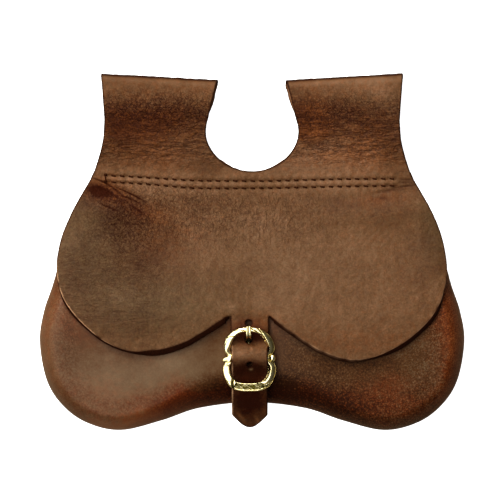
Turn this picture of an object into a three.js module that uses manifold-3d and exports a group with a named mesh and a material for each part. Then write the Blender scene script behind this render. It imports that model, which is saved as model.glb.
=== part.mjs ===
// A belt pouch of thick leather, lying on its back. A kidney-shaped bag, moulded hollow, is sewn to a flat
// back. One more piece of leather makes the belt loops, the flap and its closing strap: it is folded over
// at the top and sewn to the back along a double row of stitches. The strap runs through a brass buckle
// with two loops, which a short leather tab holds to the bag.
// Millimetres. +X is to the right, +Y is towards the belt loops and +Z points out of the flap.
import * as THREE from "three";
import { mergeVertices } from "three/addons/utils/BufferGeometryUtils.js";
import Module from "manifold-3d";

const wasm = await Module();
wasm.setup();

// ---- Driving dimensions ------------------------------------------------------------------------------
const GAP = 0.3; // left between pieces that touch
const THICK = { bag: 2.0, flap: 2.2, tab: 1.8 }; // the leathers

// Right half of the bag's outline, from the middle of its lower edge round the lobe to the top seam.
const BAG_EDGE = [
  { x: 0, y: -80.4 }, // middle of the lower edge, drawn in
  { x: 28, y: -83.4 },
  { x: 48, y: -90 },
  { x: 70, y: -95.2 }, // lowest point of the lobe
  { x: 88, y: -91.3 },
  { x: 101, y: -82 },
  { x: 109.5, y: -68.5 },
  { x: 113.2, y: -48 }, // widest point
  { x: 111, y: -32 },
  { x: 106.2, y: -17.5 },
  { x: 100, y: 4 },
  { x: 93, y: 22 }, // corner of the mouth
  { x: 84.6, y: 42 }, // end of the top seam
];
const MOUTH_KNOT = 11; // the row of BAG_EDGE at the corner of the mouth
const MOUTH = { half: 86, middle: 14, corner: 21.4 }; // half width of the mouth's edge, and its height
const BACK_TOP = { y: 42, half: 80 }; // the back's straight upper edge
// Height of the side seam: low at the mouth's corners, where the leathers lie flat, and high round the lobes.
const SEAM = { low: 2.15, high: 6.2, from: 20, full: -14 };
const BACK_RIM = { width: 8, rise: 7.7 }; // the back's turned-up rim, which ends at the side seam
const BULGE = 1.5; // how far above the side seam the bag is widest
// How far the front stands above its widest line: at the mouth's middle and corners, and in the lobes.
const DEPTH = { mouth: 6, corner: 3.8, lobe: 19.5, from: 14, full: -42 };
const DIP = { depth: 2.5, width: 30, from: 0, full: -50 }; // the shallow groove along the middle
const CROWN = { fall: 1.3, middle: 58, half: 50, from: 14, full: -30 }; // each lobe falls off to both sides
const FALL = { depth: 1.6, from: -45, length: 45 }; // and towards its lower edge
const ROLL = { edge: 8.5, middle: 21, width: 32, from: -20, full: -60 }; // width of the front's rounded edge

// Right half of the flap's outline, from the notch beside the strap round the lobe to the waist of the loop.
const FLAP_EDGE = [
  { x: 9.6, y: -34 }, // notch
  { x: 24.8, y: -44.7 },
  { x: 39, y: -52.6 },
  { x: 55, y: -56 }, // lowest point of the lobe
  { x: 75, y: -51.4 },
  { x: 90, y: -40.4 },
  { x: 100.2, y: -27.4 },
  { x: 103.9, y: -12 }, // widest point
  { x: 101.7, y: 6 },
  { x: 94.6, y: 23.5 },
  { x: 84.7, y: 40.8 }, // end of the double seam
  { x: 79.6, y: 57 },
  { x: 78.4, y: 70 }, // waist of the loop
];
const FLAP_SKEW = 0.026; // how much lower the flap's edge hangs on the right, per millimetre across
const NECK = { y: 64, half: 25, drop: 21.5 }; // the round cut between the loops
const LOOP = { inner: 18.8, outer: 80.2, top_inner: 91.6, top_outer: 95.2 }; // a loop's edges at its fold
const BELT_ROOM = 6; // inside height of a loop
const LOOP_RISE = 18; // the front leather reaches the loop's full height this far above the seam
const SEWN = { top: 43, low: 34 }; // where the flap, the loops' rear ends and the back are sewn flat
const YOKE = { end: 30.5, leaves: 43, flat: 50 }; // the rear leather's end and its step off the back
const CLIMB = { middle: 12.5, side: 20 }; // height at which the flap has climbed from the seam onto the bag
const BRIDGE = 8; // how much further the flap bridges the bag's rounded edge
const LOOSE = 0.7; // how loosely the flap lies on the bag
const LIFT = { height: 1.8, beside: 14, width: 22, from: -12, full: -44 }; // it stands up beside the strap

// The strap. Across: its middle, half width, half width in the buckle, and where it blends into the flap.
// Along: where the flap ends, where the strap has left it, where it slims, and its tapered end.
const STRAP = {
  middle: -1.2, edge: 9.8, slim: 9.2, blend: 14,
  flap_ends: -30, leaves: -36, narrows: -46, narrow: -52, corner: -87.4, tip: -93.8,
};
const HOLES = [
  { x: -1.8, y: -37.9, radius: 2 },
  { x: -1.8, y: -47, radius: 2.35 }, // the pin stands in it
  { x: -1.2, y: -60.3, radius: 1.9 },
];
// Height of the strap's upper side: down under the upper loop, over the bar and the tab, down to its tip.
const STRAP_LINE = [
  { y: -31, z: 26.3 },
  { y: -36, z: 26.9 },
  { y: -41, z: 27.5 }, // under the buckle's upper loop
  { y: -45, z: 27.7 },
  { y: -48, z: 28.5 },
  { y: -51, z: 30.7 },
  { y: -54, z: 32.9 },
  { y: -57, z: 33.6 }, // over the bar
  { y: -60, z: 32.7 },
  { y: -63, z: 30.4 },
  { y: -66, z: 28.2 },
  { y: -70, z: 26.4 },
  { y: -74, z: 24.9 }, // under the lower loop
  { y: -78, z: 22.7 },
  { y: -82, z: 19.2 },
  { y: -86, z: 15.6 },
  { y: -90, z: 11.9 },
  { y: -98, z: 5.4 },
];

const BAR = { x: -1.5, y: -56.6, z: 27.3, radius: 1.4, half: 9.6 }; // the buckle's middle bar
const BUCKLE_TILT = THREE.MathUtils.degToRad(4); // the upper loop stands higher
// A loop's centre line, from the bar: its reach, and how far it stands up. Then its half thicknesses.
const RIM = { reach: 15.3, rise: 2.8, risen: 9 };
const RIM_THICK = { height: 1.45, waist: 1.4, side: 2.0, full: 5, crown: 9 };
// Each loop: half width, how far it sits to the right, half thickness at its crown, and how square it is.
const UPPER = { direction: 1, half: 12.8, offset: -0.2, crown: 1.4, square_side: 0.66, square_crown: 0.82 };
const LOWER = { direction: -1, half: 12.5, offset: 0.1, crown: 2.25, square_side: 0.62, square_crown: 0.7 };
const WAIST = { pinch: 3.3, width: 3.2 }; // how the loops draw in beside the bar
const TWIST = { depth: 0.12, turns: 5, lobes: 2 }; // the rope-like ridges cast on the loops
// The buds at the ends of the bar, pointed at the left and round at the right: radius, and distance from the
// buckle's middle.
const LEFT_BUD = [
  { r: 0, x: 8.4 },
  { r: 2, x: 8.8 },
  { r: 2.4, x: 9.8 },
  { r: 2.3, x: 11 },
  { r: 1.9, x: 12.2 },
  { r: 1.4, x: 13.3 },
  { r: 0.8, x: 14.1 },
  { r: 0, x: 14.6 },
];
const RIGHT_BUD = [
  { r: 0, x: 9.2 },
  { r: 1, x: 9.6 },
  { r: 1, x: 10.4 },
  { r: 1.7, x: 11.1 },
  { r: 2, x: 12.3 },
  { r: 1.7, x: 13.4 },
  { r: 0.9, x: 14.1 },
  { r: 0, x: 14.4 },
];
const PIN = { x: -1.8, width: 2.9, thick: 1.8, eye: 3.0, bore: 1.7, slim_tip: 0.8 };
// Side view of the pin's shank, from the bar through the strap and over the upper loop.
const PIN_LINE = [
  { y: -54.4, z: 26.7 },
  { y: -51.5, z: 26.5 },
  { y: -49.2, z: 26.2 },
  { y: -47.7, z: 27.6 },
  { y: -46.3, z: 31.0 },
  { y: -44.9, z: 33.1 },
  { y: -43.2, z: 34.0 },
  { y: -41.4, z: 34.1 },
  { y: -39.8, z: 33.8 },
];
// The buckle's tab: half width, width of its slot for the pin, its two ends, and its height off the bag.
const TAB = { half: 7.2, slot: 4.4, back: -61, foot: -67.4, clear: 0.8 };

// ---- Shape helpers -----------------------------------------------------------------------------------
const mix = (a, b, share) => a + (b - a) * share;
const ease = (from, to, value) => THREE.MathUtils.smoothstep((value - from) / (to - from), 0, 1);
const hump = (distance, width) => Math.exp(-((distance / width) ** 2));
const vectors = (rows) => rows.map((row) => new THREE.Vector2(row.x, row.y));
const mirrored = (points) => points.map((p) => new THREE.Vector2(-p.x, p.y)).reverse();

// A smooth height read off a table of rows with y falling.
function heightAt(rows, y) {
  const last = rows.length - 2;
  const i = Math.min(last, Math.max(0, rows.findIndex((row) => row.y <= y) - 1));
  const [a, b, c, d] = [-1, 0, 1, 2].map((k) => rows[Math.min(last + 1, Math.max(0, i + k))]);
  const share = THREE.MathUtils.clamp((y - b.y) / (c.y - b.y), 0, 1);
  const start = ((c.z - a.z) / (c.y - a.y)) * (c.y - b.y);
  const end = ((d.z - b.z) / (d.y - b.y)) * (c.y - b.y);
  const [s2, s3] = [share ** 2, share ** 3];
  const level = b.z + (3 * s2 - 2 * s3) * (c.z - b.z);
  return level + (s3 - 2 * s2 + share) * start + (s3 - s2) * end;
}

// A closed solid from two grids of points. The outer one's faces look along (next point) x (next row).
function solidFromSkins(outer, inner) {
  const [rows, columns] = [outer.length, outer[0].length];
  const position = [...outer.flat(), ...inner.flat()].flatMap((p) => [p.x, p.y, p.z]);
  const index = [];
  const at = (side, row, column) => side * rows * columns + row * columns + column;
  const quad = (a, b, c, d) => index.push(a, b, c, a, c, d);
  for (let r = 0; r + 1 < rows; r++) {
    for (let c = 0; c + 1 < columns; c++) {
      quad(at(0, r, c), at(0, r, c + 1), at(0, r + 1, c + 1), at(0, r + 1, c));
      quad(at(1, r, c), at(1, r + 1, c), at(1, r + 1, c + 1), at(1, r, c + 1));
    }
  }
  const rim = [];
  for (let c = 0; c + 1 < columns; c++) rim.push([0, c]);
  for (let r = 0; r + 1 < rows; r++) rim.push([r, columns - 1]);
  for (let c = columns - 1; c > 0; c--) rim.push([rows - 1, c]);
  for (let r = rows - 1; r > 0; r--) rim.push([r, 0]);
  rim.forEach(([r, c], i) => {
    const [r2, c2] = rim[(i + 1) % rim.length];
    quad(at(0, r2, c2), at(0, r, c), at(1, r, c), at(1, r2, c2));
  });
  return meshOf(position, index);
}

// The grid moved by a distance against its own normals.
function offsetSkin(skin, distance) {
  const clampRow = (r) => skin[Math.min(skin.length - 1, Math.max(0, r))];
  return skin.map((row, r) =>
    row.map((p, c) => {
      const along = row[Math.min(row.length - 1, c + 1)].clone().sub(row[Math.max(0, c - 1)]);
      const across = clampRow(r + 1)[c].clone().sub(clampRow(r - 1)[c]);
      return p.clone().addScaledVector(along.cross(across).normalize(), -distance);
    }),
  );
}

// A closed solid through a list of rings with the same number of points, capped at both ends.
function solidFromRings(rings) {
  const sides = rings[0].length;
  const position = rings.flat().flatMap((p) => [p.x, p.y, p.z]);
  const index = [];
  for (let r = 0; r + 1 < rings.length; r++) {
    for (let i = 0; i < sides; i++) {
      const j = (i + 1) % sides;
      index.push(r * sides + i, r * sides + j, (r + 1) * sides + j);
      index.push(r * sides + i, (r + 1) * sides + j, (r + 1) * sides + i);
    }
  }
  const last = (rings.length - 1) * sides;
  for (let i = 1; i + 1 < sides; i++) index.push(0, i + 1, i, last, last + i, last + i + 1);
  return meshOf(position, index);
}

function meshOf(position, index) {
  const geometry = new THREE.BufferGeometry();
  geometry.setAttribute("position", new THREE.Float32BufferAttribute(position, 3));
  geometry.setIndex(index);
  return geometry;
}

function toManifold(geometry) {
  const bare = geometry.clone();
  bare.deleteAttribute("normal");
  bare.deleteAttribute("uv");
  const merged = mergeVertices(bare, 1e-4);
  const solid = new wasm.Manifold(
    new wasm.Mesh({
      numProp: 3,
      vertProperties: new Float32Array(merged.attributes.position.array),
      triVerts: new Uint32Array(merged.index.array),
    }),
  );
  if (solid.volume() < 0) throw new Error("a solid is inside out");
  return solid;
}

function toGeometry(solid) {
  const { vertProperties, triVerts } = solid.getMesh();
  const geometry = meshOf(Array.from(vertProperties), Array.from(triVerts));
  geometry.computeVertexNormals();
  return geometry;
}

// ---- The bag -----------------------------------------------------------------------------------------
const bagHalf = vectors(BAG_EDGE);
const bagCurve = new THREE.SplineCurve([...mirrored(bagHalf), ...bagHalf.slice(1)]);
const bagOutline = bagCurve.getPoints(120);

// Distance inside the bag's outline, its open top edge left out. It is negative outside.
function insideBag(x, y) {
  let nearest = Infinity;
  let crossings = 0;
  bagOutline.forEach((a, i) => {
    const b = bagOutline[(i + 1) % bagOutline.length];
    if (a.y > y !== b.y > y && x < a.x + ((b.x - a.x) * (y - a.y)) / (b.y - a.y)) crossings++;
    if (i + 1 === bagOutline.length) return;
    const share = THREE.MathUtils.clamp(
      ((x - a.x) * (b.x - a.x) + (y - a.y) * (b.y - a.y)) / a.distanceToSquared(b), 0, 1);
    nearest = Math.min(nearest, Math.hypot(x - mix(a.x, b.x, share), y - mix(a.y, b.y, share)));
  });
  return crossings % 2 ? nearest : -nearest;
}

const seamHeight = (y) => mix(SEAM.low, SEAM.high, ease(SEAM.from, SEAM.full, y));
const widestHeight = (y) => seamHeight(y) + BULGE;
const rollWidth = (x, y) => mix(ROLL.edge, ROLL.middle, hump(x, ROLL.width) * ease(ROLL.from, ROLL.full, y));
const roundedEdge = (share) => Math.sqrt(1 - (1 - THREE.MathUtils.clamp(share, 0, 1)) ** 2);
const towardsCorner = (x) => Math.min(1, (x / MOUTH.half) ** 2);

// How far the front stands above its widest line, inside the rounded edge.
function bagDepth(x, y) {
  const mouth = mix(DEPTH.mouth, DEPTH.corner, towardsCorner(x));
  const growth = mix(mouth, DEPTH.lobe, ease(DEPTH.from, DEPTH.full, y));
  const dip = DIP.depth * hump(x, DIP.width) * ease(DIP.from, DIP.full, y);
  const offLobe = (Math.abs(x) - CROWN.middle) / CROWN.half;
  const crown = CROWN.fall * offLobe ** 2 * ease(CROWN.from, CROWN.full, y);
  const fall = FALL.depth * (Math.min(0, y - FALL.from) / FALL.length) ** 2;
  return growth - dip - crown - fall;
}

const bagTop = (x, y) => widestHeight(y) + bagDepth(x, y) * roundedEdge(insideBag(x, y) / rollWidth(x, y));

// Points on lines from the outline to a target edge, closest together at the outline.
function fan({ from, columns, steps, crowding, target }) {
  return Array.from({ length: steps + 1 }, (_, step) =>
    Array.from({ length: columns + 1 }, (_, column) => {
      const along = column / columns;
      const start = bagCurve.getPoint(mix(from, 1 - from, along));
      return start.lerp(target(2 * along - 1), (step / steps) ** crowding);
    }),
  );
}

const raised = (flat, height) =>
  flat.map((row) => row.map((p) => new THREE.Vector3(p.x, p.y, height(p.x, p.y))));

// The front: a wall down to the side seam, a rounded edge, two lobes and an open mouth.
function frontPanel() {
  const foot = (y) => seamHeight(y) + GAP / 2;
  const tuck = 0.998; // the wall leans in a little below the widest line
  const from = (BAG_EDGE.length - 1 - MOUTH_KNOT) / (2 * (BAG_EDGE.length - 1));
  const target = (side) => new THREE.Vector2(MOUTH.half * side, mix(MOUTH.middle, MOUTH.corner, side * side));
  const skin = raised(fan({ from, columns: 40, steps: 15, crowding: 1.9, target }), bagTop);
  skin[0].forEach((p) => p.setZ(widestHeight(p.y)));
  skin.unshift(skin[0].map((p) => new THREE.Vector3(p.x * tuck, p.y, foot(p.y))));
  const inner = offsetSkin(skin, THICK.bag);
  inner.forEach((row) => row.forEach((p) => p.setZ(Math.max(p.z, foot(p.y)))));
  return toManifold(solidFromSkins(skin, inner));
}

// The back lies flat and its rim turns up to the side seam.
function backPanel() {
  const seam = (y) => seamHeight(y) - GAP / 2;
  const target = (side) => new THREE.Vector2(side * BACK_TOP.half, BACK_TOP.y);
  const under = (x, y) => {
    const turn = ease(SEAM.from, SEAM.full, y) * (1 - roundedEdge(insideBag(x, y) / BACK_RIM.width));
    return Math.min(BACK_RIM.rise * turn, seam(y));
  };
  const skin = raised(fan({ from: 0, columns: 48, steps: 7, crowding: 2, target }), under);
  const inner = offsetSkin(skin, -THICK.bag);
  inner.forEach((row) => row.forEach((p) => p.setZ(Math.min(p.z, seam(p.y)))));
  return toManifold(solidFromSkins(inner, skin));
}

// ---- The flap, its loops and its strap ---------------------------------------------------------------
const yokeUnder = THICK.bag + GAP; // underside of the loops' rear leather where it lies on the back
const sewnTop = yokeUnder + THICK.flap + GAP + THICK.flap; // upper side of the flap in the seam
const foldRadius = BELT_ROOM / 2 + THICK.flap;
const foldCentre = (x) =>
  mix(LOOP.top_inner, LOOP.top_outer, (Math.abs(x) - LOOP.inner) / (LOOP.outer - LOOP.inner)) - foldRadius;

// Upper side of the flap where it lies on the bag, bridging the rounded edge and lifting beside the strap.
function flapOnBag(x, y) {
  const bridge = roundedEdge((insideBag(x, y) + BRIDGE) / (rollWidth(x, y) + BRIDGE));
  const lift = LIFT.height * hump(Math.abs(x) - LIFT.beside, LIFT.width) * ease(LIFT.from, LIFT.full, y);
  return widestHeight(y) + bagDepth(x, y) * bridge + GAP + LOOSE + THICK.flap + lift;
}

// Upper side of the whole front leather: loops, seam, flap and strap.
function flapTop(x, y) {
  if (y > SEWN.top) return mix(sewnTop, 2 * foldRadius, ease(SEWN.top, SEWN.top + LOOP_RISE, y));
  const climbed = mix(CLIMB.middle, CLIMB.side, towardsCorner(x));
  const onBag = mix(sewnTop, flapOnBag(x, y), ease(SEWN.low, climbed, y));
  const offStrap = Math.abs(x - STRAP.middle);
  const strapShare = ease(STRAP.flap_ends, STRAP.leaves, y) * ease(STRAP.blend, STRAP.edge, offStrap);
  return mix(onBag, heightAt(STRAP_LINE, y), strapShare);
}

const rearUnder = (x, y) => yokeUnder * (1 - ease(YOKE.leaves, YOKE.flat, y));

// The leather as one bent sheet, wider than its outline: rear of the loops, folds, front, flap and strap.
function flapSheet() {
  const side = [STRAP.edge, STRAP.blend, 25, 38, 52, 66, 78, 89, 98, 108];
  const columns = [...side.map((x) => STRAP.middle + x).reverse(), ...side.map((x) => STRAP.middle - x)];
  const rowAt = (y, height) => columns.map((x) => new THREE.Vector3(x, y, height(x, y)));
  const straight = [0, 0.3, 0.65, 1];
  const stretch = (share, height) => columns.map((x) =>
    new THREE.Vector3(x, mix(SEWN.top + LOOP_RISE, foldCentre(x), share), height));
  const turned = (degrees) => columns.map((x) => {
    const angle = THREE.MathUtils.degToRad(degrees);
    return new THREE.Vector3(
      x, foldCentre(x) + foldRadius * Math.cos(angle), foldRadius * (1 + Math.sin(angle)));
  });
  const rows = [
    ...[YOKE.end, 36, YOKE.leaves, 46, YOKE.flat, 55].map((y) => rowAt(y, rearUnder)),
    ...straight.map((share) => stretch(share, 0)),
    ...[-60, -30, 0, 30, 60].map(turned),
    ...straight.toReversed().map((share) => stretch(share, 2 * foldRadius)),
    ...[55, 49, SEWN.top, SEWN.low, 31, 28, 25, 22, 19, 16, 12.5].map((y) => rowAt(y, flapTop)),
    ...[6, -1, -8, -16, -24].map((y) => rowAt(y, flapTop)),
    ...[-30, -33, -36, -39, -42, -45, -48, -51, -54, -57, -60, -63, -66].map((y) => rowAt(y, flapTop)),
    ...[-70, -74, -78, -82, -86, -90, -98].map((y) => rowAt(y, flapTop)),
  ];
  return toManifold(solidFromSkins(rows, offsetSkin(rows, THICK.flap)));
}

// The outline of the whole piece seen from the front, open above the folds.
function flapOutline() {
  const point = (x, y) => new THREE.Vector2(x, y);
  const smooth = (points, steps) => new THREE.SplineCurve(points).getPoints(steps);
  const lobe = (side) => {
    const skew = (p) => FLAP_SKEW * side * p.x * ease(20, -20, p.y);
    return smooth(FLAP_EDGE.map((p) => point(side * p.x, p.y - skew(p))), 48);
  };
  const sides = [point(STRAP.edge, -33), point(STRAP.edge, STRAP.narrows), point(STRAP.slim, STRAP.narrow)];
  const tip = [[STRAP.slim, STRAP.corner], [6, -90.6], [3, -92.9]].map(([x, y]) => point(x, y));
  const end = smooth([...tip, point(0, STRAP.tip), ...mirrored(tip)], 14);
  const strap = [...sides, ...end, ...mirrored(sides)].map((p) => p.setX(p.x + STRAP.middle));
  const turn = 0.25; // the neck's curve runs on past half a circle by this angle at each end
  const neck = new THREE.EllipseCurve(0, NECK.y, NECK.half, NECK.drop, -Math.PI - turn, turn).getPoints(26);
  const above = LOOP.top_outer + 12;
  const inner = [point(LOOP.inner, LOOP.top_inner), point(LOOP.inner, above)];
  const outer = [point(LOOP.outer, above), point(LOOP.outer, LOOP.top_outer)];
  const loops = [...mirrored([...inner, ...outer]), ...neck, ...inner, ...outer];
  return new THREE.Shape([...lobe(-1), ...loops, ...lobe(1).reverse(), ...strap]);
}

function punch({ x, y, radius }) {
  const ring = new THREE.CylinderGeometry(radius, radius, 4 * THICK.flap, 14).rotateX(Math.PI / 2);
  return toManifold(ring.translate(x, y, heightAt(STRAP_LINE, y)));
}

function flap(pinRoom) {
  const [from, depth] = [-5, 65]; // the cut reaches past the sheet above and below
  const outline = new THREE.ExtrudeGeometry(flapOutline(), { depth, bevelEnabled: false });
  const cut = flapSheet().intersect(toManifold(outline.translate(0, 0, from)));
  return HOLES.reduce((sheet, hole) => sheet.subtract(punch(hole)), cut).subtract(pinRoom);
}

// ---- The buckle --------------------------------------------------------------------------------------
// One cast loop: a bent rod from one end of the bar to the other, with twisted ridges.
function loopRod({ direction, half, offset, crown, square_side, square_crown }) {
  const [steps, sides, past] = [30, 10, 0.04]; // its ends run a little past the bar's axis
  const power = (value, exponent) => Math.sign(value) * Math.abs(value) ** exponent;
  const centre = (share) => {
    const angle = mix(-past, Math.PI + past, share);
    const across = power(Math.cos(angle), square_side) * half;
    const reach = power(Math.sin(angle), square_crown) * RIM.reach;
    const pinched = across - Math.sign(across) * WAIST.pinch * hump(reach, WAIST.width);
    const risen = ease(0, RIM.risen, reach);
    return new THREE.Vector3(pinched + offset * risen, direction * reach, RIM.rise * risen);
  };
  const ring = (share) => {
    const [before, after] = [Math.max(0, share - 0.01), Math.min(1, share + 0.01)];
    const along = centre(after).sub(centre(before)).normalize();
    const outward = along.clone().cross(new THREE.Vector3(0, 0, 1)).normalize();
    const up = outward.clone().cross(along);
    const reach = Math.abs(centre(share).y);
    const full = mix(RIM_THICK.side, crown, ease(RIM_THICK.crown, RIM.reach, reach));
    const wide = mix(RIM_THICK.waist, full, ease(0, RIM_THICK.full, reach));
    return Array.from({ length: sides }, (_, i) => {
      const angle = (-2 * Math.PI * i) / sides;
      const ridge = 1 + TWIST.depth * Math.cos(TWIST.lobes * angle + 2 * Math.PI * TWIST.turns * share);
      return centre(share)
        .addScaledVector(outward, Math.cos(angle) * wide * ridge)
        .addScaledVector(up, Math.sin(angle) * RIM_THICK.height * ridge);
    });
  };
  return toManifold(solidFromRings(Array.from({ length: steps + 1 }, (_, i) => ring(i / steps))));
}

function bud(side, rows) {
  const profile = rows.map((row) => new THREE.Vector2(row.r, row.x));
  return toManifold(new THREE.LatheGeometry(profile, 12).rotateZ((-side * Math.PI) / 2));
}

function alongX(radius, length) {
  return toManifold(new THREE.CylinderGeometry(radius, radius, length, 16).rotateZ(Math.PI / 2));
}

function buckleFrame() {
  const buds = bud(-1, LEFT_BUD).add(bud(1, RIGHT_BUD));
  const frame = loopRod(UPPER).add(loopRod(LOWER)).add(alongX(BAR.radius, 2 * BAR.half)).add(buds);
  const place = new THREE.Matrix4().makeRotationX(BUCKLE_TILT).setPosition(BAR.x, BAR.y, BAR.z);
  return frame.transform(place.elements);
}

// The pin's shank with a margin all round, so that the same form cuts its way through the strap.
function pinShank(margin) {
  const path = new THREE.SplineCurve(PIN_LINE.map((row) => new THREE.Vector2(row.y, row.z)));
  const [steps, sides] = [16, 10];
  const ring = (share) => {
    const middle = path.getPoint(share);
    const along = path.getTangent(share);
    const slim = mix(1, PIN.slim_tip, ease(0.6, 1, share));
    const half = { x: (PIN.width / 2) * slim + margin, up: (PIN.thick / 2) * slim + margin };
    return Array.from({ length: sides }, (_, i) => {
      const angle = (-2 * Math.PI * i) / sides;
      const up = Math.sin(angle) * half.up;
      return new THREE.Vector3(
        PIN.x + Math.cos(angle) * half.x, middle.x - along.y * up, middle.y + along.x * up);
    });
  };
  return toManifold(solidFromRings(Array.from({ length: steps + 1 }, (_, i) => ring(i / steps))));
}

function bucklePin() {
  const eye = alongX(PIN.eye, PIN.width).translate([PIN.x, BAR.y, BAR.z]);
  const bore = alongX(PIN.bore, 2 * BAR.half).translate([PIN.x, BAR.y, BAR.z]);
  return eye.add(pinShank(0)).subtract(bore);
}

// The tab that holds the buckle: up the bag from its sewn foot, round the bar and back on itself.
function buckleTab() {
  const half = THICK.tab / 2;
  const onBag = (y) => Math.max(bagTop(BAR.x - TAB.half, y), bagTop(BAR.x, y)) + TAB.clear + half;
  const wrap = BAR.radius + GAP + half;
  const line = [];
  for (let y = TAB.foot; y < BAR.y - 3; y += 2.4) line.push(new THREE.Vector2(y, onBag(y)));
  for (let degrees = -90; degrees <= 115; degrees += 22.5) {
    const angle = THREE.MathUtils.degToRad(degrees);
    line.push(new THREE.Vector2(BAR.y + wrap * Math.cos(angle), BAR.z + wrap * Math.sin(angle)));
  }
  line.push(new THREE.Vector2(TAB.back, onBag(TAB.back) + THICK.tab + GAP));
  const edge = (side) => line.map((p, i) => {
    const along = line[Math.min(line.length - 1, i + 1)].clone().sub(line[Math.max(0, i - 1)]).normalize();
    return new THREE.Vector2(p.x - along.y * side * half, p.y + along.x * side * half);
  });
  const shape = new THREE.Shape([...edge(-1), ...edge(1).reverse()]);
  const band = new THREE.ExtrudeGeometry(shape, { depth: 2 * TAB.half, bevelEnabled: false });
  // The profile was drawn as (y, z) and extruded, so its axes are turned from (y, z, x) to (x, y, z).
  const axes = [new THREE.Vector3(0, 1, 0), new THREE.Vector3(0, 0, 1), new THREE.Vector3(1, 0, 0)];
  band.applyMatrix4(new THREE.Matrix4().makeBasis(...axes)).translate(BAR.x - TAB.half, 0, 0);
  const slot = new THREE.BoxGeometry(TAB.slot, 3 * PIN.eye, 3 * PIN.eye).translate(PIN.x, BAR.y + 0.6, BAR.z);
  return toManifold(band).subtract(toManifold(slot));
}

// ---- The assembly ------------------------------------------------------------------------------------
const leather = (color) => new THREE.MeshStandardMaterial({ color, roughness: 0.55, metalness: 0 });
const brass = new THREE.MeshStandardMaterial({ color: 0xd9b95c, roughness: 0.22, metalness: 1 });

function piece(name, solid, material) {
  const mesh = new THREE.Mesh(toGeometry(solid), material);
  mesh.name = name;
  return mesh;
}

const pouch = new THREE.Group();
pouch.add(
  piece("back_panel", backPanel(), leather(0x6b4630)),
  piece("front_panel", frontPanel(), leather(0x6e4730)),
  piece("flap", flap(pinShank(GAP)), leather(0x765139)),
  piece("buckle_tab", buckleTab(), leather(0x5a3520)),
  piece("buckle_frame", buckleFrame(), brass),
  piece("buckle_pin", bucklePin(), brass),
);

export default pouch;
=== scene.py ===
# A belt pouch of thick brown leather, lying on its back: a moulded bag in two lobes, a flap with two belt
# loops and a closing strap, and a cast brass buckle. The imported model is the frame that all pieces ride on.
import math

import bpy
import numpy as np
from mathutils.geometry import delaunay_2d_cdt
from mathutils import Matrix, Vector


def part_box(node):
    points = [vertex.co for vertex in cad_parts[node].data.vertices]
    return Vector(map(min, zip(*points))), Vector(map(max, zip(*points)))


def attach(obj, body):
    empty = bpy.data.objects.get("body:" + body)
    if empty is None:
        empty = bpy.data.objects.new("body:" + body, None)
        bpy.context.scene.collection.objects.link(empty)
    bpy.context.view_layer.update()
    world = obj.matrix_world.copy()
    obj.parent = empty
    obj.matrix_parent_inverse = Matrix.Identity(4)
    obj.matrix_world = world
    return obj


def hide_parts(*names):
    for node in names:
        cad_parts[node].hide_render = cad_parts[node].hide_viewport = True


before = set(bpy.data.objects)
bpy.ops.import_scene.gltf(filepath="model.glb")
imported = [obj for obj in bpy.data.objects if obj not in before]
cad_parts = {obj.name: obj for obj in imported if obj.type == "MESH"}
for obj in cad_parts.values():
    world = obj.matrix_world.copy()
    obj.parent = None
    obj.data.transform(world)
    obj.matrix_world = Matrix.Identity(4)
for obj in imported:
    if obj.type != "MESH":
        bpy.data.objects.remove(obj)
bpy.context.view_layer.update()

# ---- The bag's back ----------------------------------------------------------------------------------
# One flat piece of vegetable tanned leather, 2 mm thick. Its rim turns up all round to meet the front in
# the side seam. Lengths in this file are in millimetres, and a mesh is made in metres.
MM = 0.001
GAP = 0.3  # between pieces that lie on one another
BAG_THICK = 2.0
# Right half of the bag's outline, from the middle of its lower edge round the lobe to the top seam.
BAG_EDGE = [
    (0, -80.4), (28, -83.4), (48, -90), (70, -95.2), (88, -91.3), (101, -82), (109.5, -68.5),
    (113.2, -48), (111, -32), (106.2, -17.5), (100, 4), (93, 22), (84.6, 42),
]
BACK_TOP = {"y": 42, "half": 80}
SEAM = {"low": 2.15, "high": 6.2, "from": 20, "full": -14}  # the side seam's height, low at the top
BACK_RIM = {"width": 8, "rise": 7.7}
BULGE = 1.5  # how far above the seam the front is widest
EDGE_BOW = 0.25  # how far the bag's cut edges bow out
CUT_RINGS = [0.07, 0.28, 0.72, 0.93]  # how far down a cut edge its rings of points lie


def mix(a, b, share):
    """The value that lies at a share of the way from a to b."""
    return a + (b - a) * share


def ease(start, end, value):
    """0 before start, 1 after end, and a smooth step between them."""
    share = np.clip((value - start) / (end - start), 0, 1)
    return share * share * (3 - 2 * share)


def band(value, start, full, last, end):
    """0 before start and after end, 1 from full to last, and a smooth step on either side."""
    return ease(start, full, value) * ease(end, last, value)


def hump(distance, width):
    """A soft bell: 1 in its middle, and about a third at width from it."""
    return np.exp(-((distance / width) ** 2))


def rounded(share):
    """A quarter circle: it rises steeply from 0, and levels out at 1."""
    return np.sqrt(1 - (1 - np.clip(share, 0, 1)) ** 2)


def unit(vectors):
    """The same directions, each 1 long."""
    return vectors / np.maximum(np.linalg.norm(vectors, axis=-1, keepdims=True), 1e-9)


def spline(points, shares):
    """A smooth curve through points. Each stretch is a cubic, whose slope at a point is half the way from the
    point before to the point after."""
    p = np.asarray(points, float)
    along = np.clip(shares, 0, 1) * (len(p) - 1)
    i = np.minimum(along.astype(int), len(p) - 2)
    u = (along - i)[:, None]
    a, b, c, d = p[np.maximum(i - 1, 0)], p[i], p[i + 1], p[np.minimum(i + 2, len(p) - 1)]
    start, end = (c - a) / 2, (d - b) / 2
    return b + start * u + (3 * (c - b) - 2 * start - end) * u**2 + (2 * (b - c) + start + end) * u**3


def mirrored(points):
    """The points of the other half, in reverse order, so that they go on from the first half."""
    return (np.asarray(points, float) * (-1, 1))[::-1]


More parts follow.
